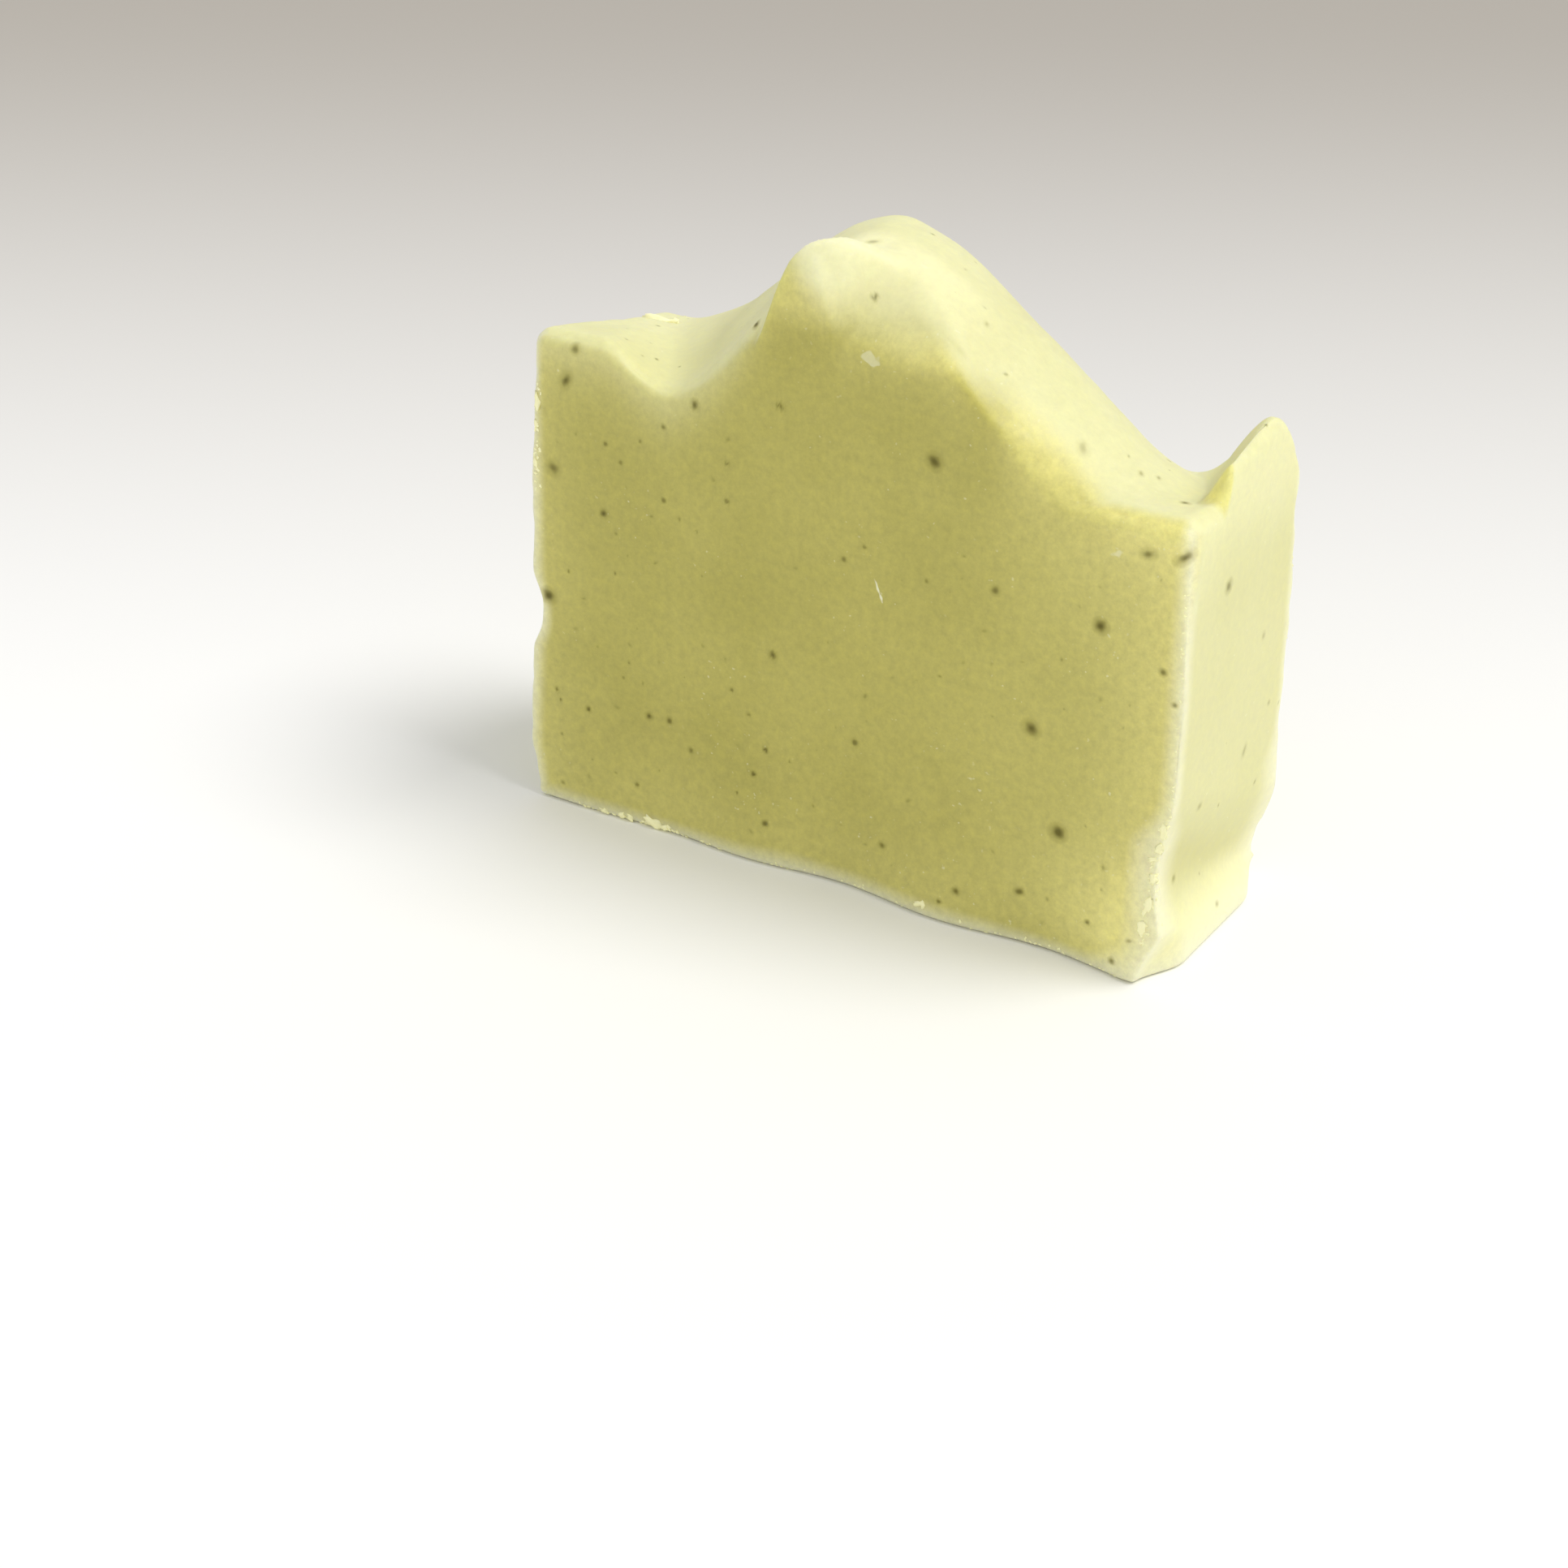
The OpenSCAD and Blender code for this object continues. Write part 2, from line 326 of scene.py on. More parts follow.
    def left_push(self, y: Array, z: Array) -> Array:
        """Gives how far the left wall lies in: a dent, a lean and the rubbed corners.

        Args:
            y: depths in millimetres.
            z: heights in millimetres.

        Returns:
            The three ways in, summed. The dent is deepest at the front cut.
        """
        s = self.sizes
        near = fade(np.abs(z - s.dent_height), s.dent_reach * s.dent_core_share, s.dent_reach)
        dent = s.dent_depth * (s.dent_middle_share - s.dent_change_share * y / s.thickness) * near
        return dent + s.wall_lean * ease(z, s.lean_from, s.lean_to) + self.pinch(y, z) / 2

    def pinch(self, y: Array, z: Array) -> Array:
        """Gives how far the foot's corners are rubbed in, most at the cuts and at the foot.

        Args:
            y: depths in millimetres.
            z: heights in millimetres.

        Returns:
            The pinch times a step towards the cuts and a step down to the foot.
        """
        s = self.sizes
        outward = ease(np.abs(y), self.half_depth - s.pinch_length, self.half_depth)
        return s.foot_pinch * outward * fade(z, 0.0, s.pinch_height)

    def cut_push(self, x: Array, y: Array, z: Array) -> Array:
        """Gives how far a cut lies inside its foot; the front has the cutter's waves as well.

        Args:
            x: places across the width in millimetres.
            y: depths in millimetres, whose sign picks the cut.
            z: heights in millimetres.

        Returns:
            The way along Y: positive at the front cut and negative at the back cut.
        """
        s = self.sizes
        low = fade(z, 0.0, s.low_height)
        swing = 1.0 - np.cos(2.0 * np.pi * (x - s.wave_x) / s.wave_length)
        wave = s.cut_wave * swing * ease(x, -self.half_width, 0.0)
        inward = s.cut_bow * (1.0 - low)
        way = np.where(y < 0.0, inward + wave * low, -inward)
        return way * ease(np.abs(y), 0.0, self.half_depth)

    def brow(self, x: Array) -> Array:
        """Gives how much deeper the soft edge is where the crest meets the front cut.

        Args:
            x: places across the width in millimetres.

        Returns:
            The extra depth times a step up at the knob and a step down before the right wall.
        """
        s = self.sizes
        start = ease(x, s.knob_x, s.knob_x + s.brow_run)
        end = fade(x, self.half_width - 2 * s.brow_run, self.half_width - s.brow_run / 2)
        return (s.brow_depth - s.roll_radius) * start * end

    def skin(self, x: Array, y: Array, z: Array) -> Array:
        """Carries points of the blank box to their place on the bar.

        The part of a point outside the box's core is turned onto a round edge, its height is
        scaled to the top's height there, and the walls and cuts are pushed in.

        Args:
            x: places across the blank in millimetres.
            y: depths on the blank in millimetres.
            z: heights on the blank in millimetres.

        Returns:
            Points with X, Y and Z in the last axis, in millimetres.
        """
        s = self.sizes
        up = ease(z, s.blank_height * s.round_from_share, s.blank_height - s.roll_radius)
        start = s.lip_start - self.half_depth
        lip_side = np.where(x > 0.0, up * ease(y, start - s.lip_rise, start + s.lip_rise), 0.0)
        radius = mix(s.edge_radius, s.roll_radius, up)
        radius_x = mix(radius, s.lip_round, lip_side)
        radius_y = np.where(y < 0.0, radius + self.brow(x) * up, radius)
        low = np.clip(1.0 - z / s.foot_radius, 0.0, 1.0)
        inset = s.foot_radius * (1.0 - np.sqrt(1.0 - low * low))
        reach_x, reach_y = radius_x + inset, radius_y + inset
        core_x = np.clip(x, reach_x - self.half_width, self.half_width - reach_x)
        core_y = np.clip(y, reach_y - self.half_depth, self.half_depth - reach_y)
        core_z = np.minimum(z, s.blank_height - s.roll_radius)
        ways = [(x - core_x) / reach_x, (y - core_y) / reach_y, (z - core_z) / s.roll_radius]
        out = unit(np.stack(ways, -1))
        px = core_x + radius_x * out[..., 0]
        py = core_y + radius_y * out[..., 1]
        pz = (core_z + s.roll_radius * out[..., 2]) * self.top_height(px, py) / s.blank_height
        inner = self.half_width - s.wall_fade
        right = self.right_push(py, pz) * ease(px, inner, self.half_width)
        left = self.left_push(py, pz) * ease(-px, inner, self.half_width)
        return np.stack([px - right + left, py + self.cut_push(px, py, pz), pz], -1)


class Ripple:
    """A smooth random field: the mean of cosines with seeded directions and phases."""

    LENGTHS = (0.7, 1.5)
    LOUD = 0.6

    def __init__(self, length: float, seed: int, waves: int = 28) -> None:
        """Draws the field's waves.

        Args:
            length: typical wavelength in millimetres.
            seed: seed of the directions, lengths and phases.
            waves: number of cosines.
        """
        rng = np.random.default_rng(seed)
        ways = rng.normal(size=(3, waves))
        ways /= np.linalg.norm(ways, axis=0)
        self.ways = ways * (2.0 * np.pi / (length * rng.uniform(*self.LENGTHS, waves)))
        self.phases = rng.uniform(0.0, 2.0 * np.pi, waves)

    def at(self, points: Array) -> Array:
        """Reads the field, about -1 to 1: the cosines' sum times the root of 2 over their number."""
        waves = np.cos(points @ self.ways + self.phases)
        return waves.sum(-1) * np.sqrt(2.0 / self.phases.size) * self.LOUD


class Side(Enum):
    """A face of the bar that a mark can lie on."""

    FRONT = "front cut"
    BACK = "back cut"
    LEFT = "left wall"
    RIGHT = "right wall"
    TOP = "top"


@dataclass(frozen=True)
class Mark:
    """A herb fleck or a pale spot in the surface, in millimetres.

    across runs along X on the cuts and the top, and along Y on the walls. up is the height on
    the cuts and walls, and the depth Y on the top. A tone under zero is a pale mark.
    """

    side: Side
    across: float
    up: float
    size: float = 0.4
    tone: float = 0.8
    stretch: float = 1.0
    turn: float = 0.0


def marks(side: Side, *rows: tuple[float, ...]) -> list[Mark]:
    """Makes one mark of each row: across, up, size, tone, and at will stretch and turn."""
    return [Mark(side, *row) for row in rows]


@dataclass(frozen=True)
class Scatter:
    """Small marks drawn on one face: how many, and the spans of their places, sizes and tones."""

    side: Side
    count: int
    across: Span
    up: Span
    size: Span
    tone: Span


@dataclass(frozen=True)
class Marks:
    """All flecks and spots: the bar's main ones listed one by one, and small ones drawn at random.

    A mark is felt within reach of its centre, and places beyond it get the way far. Drawn
    marks keep apart from all others. own and steep say from where, and how fast, the third
    number of the way grows.
    """

    form: BarForm
    seed: int = 11
    hand: tuple[Mark, ...] = (
        *marks(
            Side.FRONT,
            (-34.5, 51.2, 0.45, 0.9, 1.8, 60), (-33.3, 55, 0.5, 0.6), (-18, 52, 0.4, 0.8, 1.3, 90),
            (-7.5, 54.2, 0.5, 0.75),
            (-22, 48.6, 0.3, 0.6), (-29.5, 45, 0.3, 0.6), (-25, 46.3, 0.25, 0.5),
            (-27.5, 43.3, 0.3, 0.5), (-36.4, 40.6, 0.7, 0.7), (-14, 46.3, 0.35, 0.6),
            (-22, 40.2, 0.3, 0.6), (-14, 42, 0.35, 0.6), (-29.8, 36.8, 0.4, 1.0, 1.2, 30),
            (-20, 38.5, 0.3, 0.5), (-17.8, 37.6, 0.25, 0.5), (-28.4, 30, 0.25, 0.6),
            (-34.6, 28.7, 0.25, 0.6), (-37.5, 25, 0.75, 1.0), (10.8, 52.3, 0.7, 0.95),
            (0.6, 39, 0.35, 0.6), (3, 41, 0.3, 0.5), (10.4, 39, 0.3, 0.5), (18.4, 40, 0.45, 0.7),
            (30.4, 39.2, 0.65, 1.0), (-8, 25.6, 0.4, 0.9, 1.3, 90), (-26.7, 19.6, 0.25, 0.5),
            (-36.4, 13.8, 0.3, 0.7), (-35.8, 12.7, 0.25, 0.6), (-32, 12.5, 0.35, 0.9),
            (-24, 13.8, 0.4, 1.0), (-21.3, 14, 0.4, 0.8), (-13.2, 20, 0.3, 0.6),
            (-11, 17.6, 0.3, 0.5), (-18.3, 11.2, 0.35, 0.7), (-8.7, 14, 0.35, 0.9),
            (-10, 10.8, 0.35, 0.9), (-12, 8, 0.25, 0.6), (-5.6, 13.5, 0.25, 0.5),
            (-25.3, 5, 0.3, 0.6), (-8.2, 5.3, 0.4, 0.8), (2.4, 18, 0.4, 0.7), (6.3, 6.8, 0.4, 0.7),
            (23.3, 25.7, 0.6, 0.95, 1.3, 150), (27, 14.6, 0.75, 0.95), (15.8, 4.4, 0.4, 0.8),
            (23, 6.3, 0.35, 0.8, 1.4, 20), (13.9, 2.6, 0.3, 0.7), (35, 48.2, 0.4, 0.7, 1.8, 20),
            (39, 48.6, 0.4, 0.8, 2.2, 35), (37.5, 36, 0.35, 0.7), (39, 32.7, 0.3, 0.6),
            (34.5, 2, 0.35, 0.7), (31.2, 5.3, 0.3, 0.7), (32.5, 12.2, 0.3, 0.4),
            (4.7, 36.7, 0.16, -0.9, 7, 112), (3, 61.6, 0.7, -0.45, 1.4, 160),
            (31.6, 47.3, 0.4, -0.5, 1.5, 10), (27.5, 36.4, 0.2, -0.4), (30, 36.6, 0.2, -0.4),
            (32.5, 36.2, 0.2, -0.4),
        ),
        *marks(
            Side.TOP,
            (2.0, -10.6, 0.32, 0.6, 1.3, 120), (-11.9, -11.3, 0.36, 1.0, 1.5, 150),
            (24.8, -7.8, 0.45, 0.3, 1.6, 120), (29.6, -4.4, 0.24, 0.35, 1.8, 120),
            (30.9, -3.0, 0.22, 0.35, 1.8, 120), (27.6, -3.2, 0.18, 0.25, 1.8, 120),
            (35.6, -6.6, 0.34, 0.75, 1.5, 120),
            (39.1, 3.6, 0.2, 0.6), (0.5, 4.0, 0.22, 0.5, 1.6, 120), (-2.4, -3.6, 0.28, 0.35, 2.2, 20),
            (4.6, -5.2, 0.5, -0.25), (12.0, -5.4, 0.24, 0.25, 1.6, 120), (-22.6, -4.6, 0.16, -0.9),
            (-19.8, -6.7, 0.14, -0.9), (-27.2, -6.4, 0.18, 0.5, 1.6, 120),
            (-24.6, -6.0, 0.16, 0.4, 1.6, 120), (20.8, -9.4, 0.24, -0.3), (22.6, -11.8, 0.2, -0.3),
            (-34, 4, 0.25, 0.5), (28, 6, 0.3, 0.5),
        ),
        *marks(
            Side.RIGHT,
            (-4.2, 42.6, 0.62, 0.6), (-8.6, 10.6, 0.42, 0.4), (0.5, 3.5, 0.34, 0.4),
            (-6.3, 18.4, 0.42, 0.3), (3.6, 20.6, 0.36, 0.3, 1.8, 60), (6, 33, 0.4, 0.25),
            (9, 24, 0.3, 0.3),
        ),
    )
    small: tuple[Scatter, ...] = (
        Scatter(Side.FRONT, 110, (-38.0, 38.0), (2.0, 50.0), (0.10, 0.24), (0.12, 0.42)),
        Scatter(Side.BACK, 90, (-38.0, 38.0), (2.0, 60.0), (0.12, 0.42), (0.4, 1.0)),
        Scatter(Side.LEFT, 24, (-12.0, 12.0), (2.0, 50.0), (0.12, 0.34), (0.3, 0.9)),
        Scatter(Side.RIGHT, 10, (-12.0, 12.0), (4.0, 48.0), (0.10, 0.18), (0.2, 0.4)),
        Scatter(Side.TOP, 26, (-36.0, 36.0), (-9.0, 12.0), (0.10, 0.18), (0.15, 0.35)),
    )
    stretch: Span = (1.0, 2.0)
    turn: Span = (0.0, 180.0)
    reach: float = 2.6
    far: float = 12.0
    apart: float = 1.9
    scale: float = 0.86
    own: float = 1.7
    steep: float = 3.0

    def drawn(self) -> list[Mark]:
        """Draws small marks: many on the unseen faces, and faint ones among the listed ones.

        Returns:
            The drawn marks.
        """
        rng = np.random.default_rng(self.seed)
        found: list[Mark] = []
        kept = [self.rough_place(mark) for mark in self.hand]
        for face in self.small:
            spans = (face.across, face.up, face.size, face.tone, self.stretch, self.turn)
            columns = [rng.uniform(*span, face.count) for span in spans]
            for row in zip(*columns):
                mark = Mark(face.side, *(float(value) for value in row))
                place = self.rough_place(mark)
                if min(float(np.linalg.norm(place - other)) for other in kept) > self.apart:
                    found.append(mark)
                    kept.append(place)
        return found

    def rough_place(self, mark: Mark) -> Array:
        """Puts a mark near the surface, from the face that it lies on.

        Args:
            mark: the mark.

        Returns:
            Its place in millimetres.
        """
        form = self.form
        a, b = np.array(mark.across), np.array(mark.up)
        if mark.side in (Side.FRONT, Side.BACK):
            edge = np.array(-form.half_depth if mark.side is Side.FRONT else form.half_depth)
            return np.array([a, edge + form.cut_push(a, edge, b), b])
        if mark.side is Side.TOP:
            return np.array([a, b, form.top_height(a, b)])
        if mark.side is Side.RIGHT:
            return np.array([form.half_width - form.right_push(a, b), a, b])
        return np.array([form.left_push(a, b) - form.half_width, a, b])

    def offsets(self, points: Array, normals: Array) -> tuple[Array, Array]:
        """Gives each point its way to the nearest mark, measured in that mark's own sizes.

        Each mark is set on the surface's nearest point, and its plane is square to the normal
        there. The first two numbers of the way run in that plane, so that they stay exact
        between the lattice's points. The third grows off the plane, and beyond the mark's own
        reach, which keeps marks off the far side of an edge and apart from each other.

        Args:
            points: points of the surface in millimetres.
            normals: its outward normals.

        Returns:
            The ways, one vector for each point, and the nearest mark's tone.
        """
        best = np.full(len(points), self.reach)
        ways = np.tile((0.0, 0.0, self.far), (len(points), 1))
        tones = np.zeros(len(points))
        for mark in [*self.hand, *self.drawn()]:
            rough = self.rough_place(mark)
            nearest = int(np.argmin(((points - rough) ** 2).sum(1)))
            out = normals[nearest]
            centre = rough - out * float((rough - points[nearest]) @ out)
            level = np.eye(3)[1 if mark.side in (Side.LEFT, Side.RIGHT) else 0]
            first = level - out * float(level @ out)
            first /= np.linalg.norm(first)
            second = np.cross(out, first)
            gap = points - centre
            distance = np.linalg.norm(gap, axis=1)
            near = distance < best
            turn = np.radians(mark.turn)
            a, b, off = gap[near] @ first, gap[near] @ second, np.abs(gap[near] @ out)
            size = mark.size * self.scale
            long = (a * np.cos(turn) + b * np.sin(turn)) / (size * mark.stretch)
            short = (b * np.cos(turn) - a * np.sin(turn)) / size
            reach = size * max(mark.stretch, 1.0)
            beyond = self.steep * np.maximum(distance[near] / reach - self.own, 0.0) + off / reach
            ways[near] = np.stack([long, short, beyond], -1)
            tones[near] = mark.tone
            best[near] = distance[near]
        return ways, tones


@dataclass(frozen=True)
class Layer:
    """One ripple of the relief: its depth and length in millimetres, its seed and its squash.

    The squash scales each place before the ripple is read, so that less than 1 stretches it.
    """

    depth: float
    length: float
    seed: int
    squash: Triple = (1.0, 1.0, 1.0)

    def at(self, points: Array) -> Array:
        """Reads the layer: its depth times its ripple at the scaled places."""
        return self.depth * Ripple(self.length, self.seed).at(points * self.squash)


@dataclass(frozen=True)
class Relief:
    """The fine relief in millimetres: layers for each kind of face, rubbed edges and pits.

    A face is known by its normal: cut_faces and top_faces hold the spans of the normal's Y
    and Z over which a face begins to count as a cut or as the top.
    """

    top: tuple[Layer, ...] = (Layer(0.20, 11.0, 3, (1.0, 0.7, 1.0)), Layer(0.05, 4.5, 4))
    cut: tuple[Layer, ...] = (Layer(0.08, 16.0, 5), Layer(0.015, 3.2, 6))
    wall: tuple[Layer, ...] = (Layer(0.07, 13.0, 7, (1.0, 1.0, 0.6)), Layer(0.015, 3.0, 8))
    sink: float = 0.1
    rub: Layer = Layer(1.0, 3.4, 9)
    rub_depth: float = 0.12
    rub_reach: float = 1.1
    rub_base: float = 0.35
    rub_most: float = 1.4
    pit_count: int = 150
    pit_seed: int = 21
    pit_sizes: Span = (0.35, 1.3)
    pit_shares: Span = (0.15, 1.0)
    pit_depth: float = 0.10
    cut_faces: Span = (0.35, 0.85)
    top_faces: Span = (0.1, 0.5)
    foot_fade: Span = (0.2, 2.5)

    def moved(self, points: Array, normals: Array, rim: Array) -> Array:
        """Moves the surface along its normals.

        The top is lumpy, the cuts show shallow drag, the walls swell, the edges are rubbed
        and pits are scattered. All of it fades out at the foot, which stays flat.

        Args:
            points: the plain surface in millimetres.
            normals: its outward normals.
            rim: each point's way to the nearest edge.

        Returns:
            The points with their relief.
        """
        cut = ease(np.abs(normals[:, 1]), *self.cut_faces)
        top = ease(normals[:, 2], *self.top_faces) * (1.0 - cut)
        wall = (1.0 - cut) * (1.0 - top)
        lump, drag, swell = (
            sum(layer.at(points) for layer in layers) for layers in (self.top, self.cut, self.wall)
        )
        near = np.exp(-((rim / self.rub_reach) ** 2))
        rub = -self.rub_depth * near * np.clip(self.rub_base + self.rub.at(points), 0.0, self.rub_most)
        move = top * (lump - self.sink) + cut * drag + wall * (swell - self.sink) + rub - self.pits(points)
        return points + normals * (move * ease(points[:, 2], *self.foot_fade))[:, None]

    def pits(self, points: Array) -> Array:
        """Gives the depth of the scattered pits: a round dent at each drawn place.

        Args:
            points: points of the surface in millimetres.

        Returns:
            The depth at each point: the sum of depth * exp(-(way / size)^2) over the pits.
        """
        rng = np.random.default_rng(self.pit_seed)
        places = rng.choice(len(points), self.pit_count, replace=False)
        sizes = rng.uniform(*self.pit_sizes, self.pit_count)
        shares = rng.uniform(*self.pit_shares, self.pit_count)
        total = np.zeros(len(points))
        for place, size, share in zip(places, sizes, shares):
            gap = np.linalg.norm(points - points[place], axis=1)
            total += self.pit_depth * share * np.exp(-((gap / size) ** 2))
        return total


@dataclass(frozen=True)
class Patch:
    """A soft patch of tone: its strength, and the spans over which it comes and goes.

    A span holds the places in millimetres where a smooth step starts and ends. The patch
    comes over an axis's first span and goes over its second, and a span that is left out
    sets no bound.
    """

    strength: float = 1.0
    x_in: Span | None = None
    x_out: Span | None = None
    y_out: Span | None = None
    z_in: Span | None = None
    z_out: Span | None = None

    def at(self, points: Array) -> Array:
        """Reads the patch: its strength times a step up or down for each span.

        Args:
            points: points of the surface in millimetres.

        Returns:
            The strength at each point.
        """
        total = np.full(len(points), self.strength)
        axes = ((0, self.x_in, self.x_out), (1, None, self.y_out), (2, self.z_in, self.z_out))
        for axis, come, go in axes:
            if come:
                total = total * ease(points[:, axis], *come)
            if go:
                total = total * fade(points[:, axis], *go)
        return total


@dataclass(frozen=True)
class Bell:
    """A soft band: strength * exp(-((value - centre) / reach)^2)."""

    strength: float
    centre: float
    reach: float

    def at(self, values: Array) -> Array:
        """Reads the band at each value."""
        return self.strength * np.exp(-(((values - self.centre) / self.reach) ** 2))


@dataclass(frozen=True)
class Trail:
    """A tone that dies away from an edge: strength * exp(-way / reach) beyond its flat part."""

    strength: float
    reach: float
    flat: float = 0.0

    def at(self, way: Array) -> Array:
        """Reads the trail at each way to the edge."""
        return self.strength * np.exp(-np.maximum(way - self.flat, 0.0) / self.reach)


@dataclass(frozen=True)
class Tones:
    """Where the bar's colour changes, from the soap's own tones and from painted light and shade: places in
    millimetres, strengths as shares.

    wall_faces, flank_faces and trough_faces hold spans of the normal's X or Z over which a
    face begins to count as the right wall, as a flank of the crest or as the trough.
    """

    form: BarForm
    wall_faces: Span = (0.5, 0.9)
    # facet paints light on the knob's front facet: there it loses the cut's colour and turns paler.
    facet: Patch = Patch(y_out=(-4.0, 0.0), z_in=(62.5, 69.5))
    facet_level: float = 68.0
    facet_slope: float = 0.7
    facet_soft: float = 2.5
    # The glow fields paint light that seems to shine through the cuts from their lit edges.
    edge_glow: Trail = Trail(0.72, 11.0)
    corner_glow: Trail = Trail(1.1, 10.0, 5.0)
    corner_height: Bell = Bell(1.0, 6.0, 8.0)
    left_glow: Trail = Trail(0.5, 3.5)
    brow_strength: Span = (0.45, 0.8)
    brow_change: Span = (-8.0, 0.0)
    brow_gap: Patch = Patch(0.7, x_in=(12.0, 15.0), x_out=(16.0, 20.0))
    brow_reach: Span = (3.0, 4.2)
    reach_change: Span = (5.0, 25.0)
    border_glow: Trail = Trail(0.32, 6.0)
    border_side: Patch = Patch(x_out=(-16.0, -8.0))
    border_gap: Patch = Patch(0.2, x_in=(22.0, 26.0), x_out=(28.0, 33.0), z_in=(46.0, 50.0))
    crest_glow: Bell = Bell(0.85, 63.5, 2.4)
    crest_side: Patch = Patch(x_in=(-2.0, 8.0), x_out=(12.0, 15.0))
    knob_glow: Patch = Patch(0.6, x_in=(-12.0, -9.0), z_in=(62.0, 66.0))
    foot_glow: Bell = Bell(0.3, 0.0, 7.0)
    foot_side: Patch = Patch(x_out=(10.0, 26.0))
    # The next four fields paint light, a paler tone, on the knob's facet and front, the foot corner and the
    # lip.
    thin_facet: float = 0.5
    thin_knob: Patch = Patch(0.6, (-7.0, -5.0), (-2.0, 1.0), (-4.0, 0.0), (65.0, 68.0))
    thin_foot: Patch = Patch(0.5, z_out=(4.0, 9.0))
    thin_lip: Patch = Patch(0.2, z_in=(46.0, 52.0))
    # The shade fields paint shade into the poured colour: right wall, crease, trough and flanks.
    wall_shade: Patch = Patch(0.45, z_in=(6.0, 16.0), z_out=(40.0, 50.0))
    crease_shade: Bell = Bell(0.8, 1.0, 3.6)
    trough_shade: Patch = Patch(0.6, x_in=(30.0, 34.0), y_out=(-4.0, 8.0))
    trough_faces: Span = (0.15, 0.6)
    flank_shades: tuple[Bell, Bell] = (Bell(0.3, 12.0, 6.0), Bell(0.3, -25.0, 7.0))
    flank_faces: Span = (0.3, 0.6)
    roll_front: Patch = Patch(x_in=(8.0, 18.0), y_out=(-6.0, 0.0))
    cut_from: Span = (0.56, 0.1)
    cut_full: Span = (0.98, 0.7)
    # pale_border paints light: the top's paler colour reaches down the front at the left.
    pale_border: Patch = Patch(0.62, x_out=(-14.0, -9.0))
    pale_reach: float = 3.4
    pale_power: float = 1.5
    # The pale rim is partly rubbed wear and partly painted light on the edges; this field makes it
    # strongest at the low right corner.
    corner_rub_and_light: Patch = Patch(0.6, x_in=(30.0, 36.0), z_out=(16.0, 22.0))

    def below(self, points: Array) -> Array:
        """Gives each point's way down from the top's height over it, and 0 above it."""
        return np.maximum(self.form.top_height(points[:, 0], points[:, 1]) - points[:, 2], 0.0)

    def facet_share(self, points: Array) -> Array:
        """Gives the painted light on the knob's facet on the front cut: high up, right of a slanting line.

        Args:
            points: points of the surface in millimetres.

        Returns:
            The facet's patch times a step across the line.
        """
        line = self.form.sizes.knob_x + self.facet_slope * (self.facet_level - points[:, 2])
        side = ease(points[:, 0], line - self.facet_soft, line + self.facet_soft)
        return self.facet.at(points) * side

    def cut(self, points: Array, normals: Array) -> Array:
        """Gives how much a place shows the cut's colour instead of the poured one.

        A place is cut where its normal lies along Y. The rolled front edge on the right stays
        cut for longer. The knob's facet and the border of the top on the left are pale: painted light.

        Args:
            points: points of the surface in millimetres.
            normals: its outward normals.

        Returns:
            The share of the cut's colour at each point.
        """
        roll = self.roll_front.at(points)
        share = ease(np.abs(normals[:, 1]), mix(*self.cut_from, roll), mix(*self.cut_full, roll))
        border = np.exp(-((self.below(points) / self.pale_reach) ** self.pale_power))
        return share * (1.0 - self.facet_share(points)) * (1.0 - self.pale_border.at(points) * border)

    def rim(self, points: Array, way: Array) -> Array:
        """Brings the low right corner nearer to its edge, where the pale rim is strongest: partly rubbed
        wear, partly painted light.

        Args:
            points: points of the surface in millimetres.
            way: each point's way to the nearest upright or foot edge.

        Returns:
            The way that the pale rim follows.
        """
        return way * (1.0 - self.corner_rub_and_light.at(points))

    def glow(self, points: Array) -> Array:
        """Gives the painted light that seems to shine through a cut, from 0 to 1.

        It is strongest at the right edge and in its low corner, and dies away from them. There
        are narrower bands under the top and along the left edge and the foot, and the knob's
        front shines as a whole.

        Args:
            points: points of the surface in millimetres.

        Returns:
            The share of the painted lit colour at each point.
        """
        x, z, below = points[:, 0], points[:, 2], self.below(points)
        right, left = self.form.half_width - x, self.form.half_width + x
        edge = mix(self.edge_glow.at(right), self.corner_glow.at(right), self.corner_height.at(z))
        strength = mix(*self.brow_strength, ease(x, *self.brow_change)) - self.brow_gap.at(points)
        brow = strength * np.exp(-below / mix(*self.brow_reach, ease(x, *self.reach_change)))
        brow = np.maximum(brow, self.border_side.at(points) * self.border_glow.at(below))
        brow = np.maximum(brow, self.crest_glow.at(z) * self.crest_side.at(points))
        brow = np.maximum(brow - self.border_gap.at(points), self.knob_glow.at(points))
        foot = self.foot_glow.at(z) * self.foot_side.at(points)
        return np.clip(edge + brow + self.left_glow.at(left) + foot, 0.0, 1.0)

    def thin(self, points: Array, normals: Array) -> Array:
        """Gives the painted light, a paler tone on the knob's facet and front, the lip and the foot corner.

        Args:
            points: points of the surface in millimetres.
            normals: its outward normals.

        Returns:
            The share of the painted light at each point.
        """
        wall = ease(normals[:, 0], *self.wall_faces)
        wall = wall * (self.thin_foot.at(points) + self.thin_lip.at(points))
        facet = self.thin_facet * self.facet_share(points)
        return np.clip(facet + self.thin_knob.at(points) + wall, 0.0, 1.0)

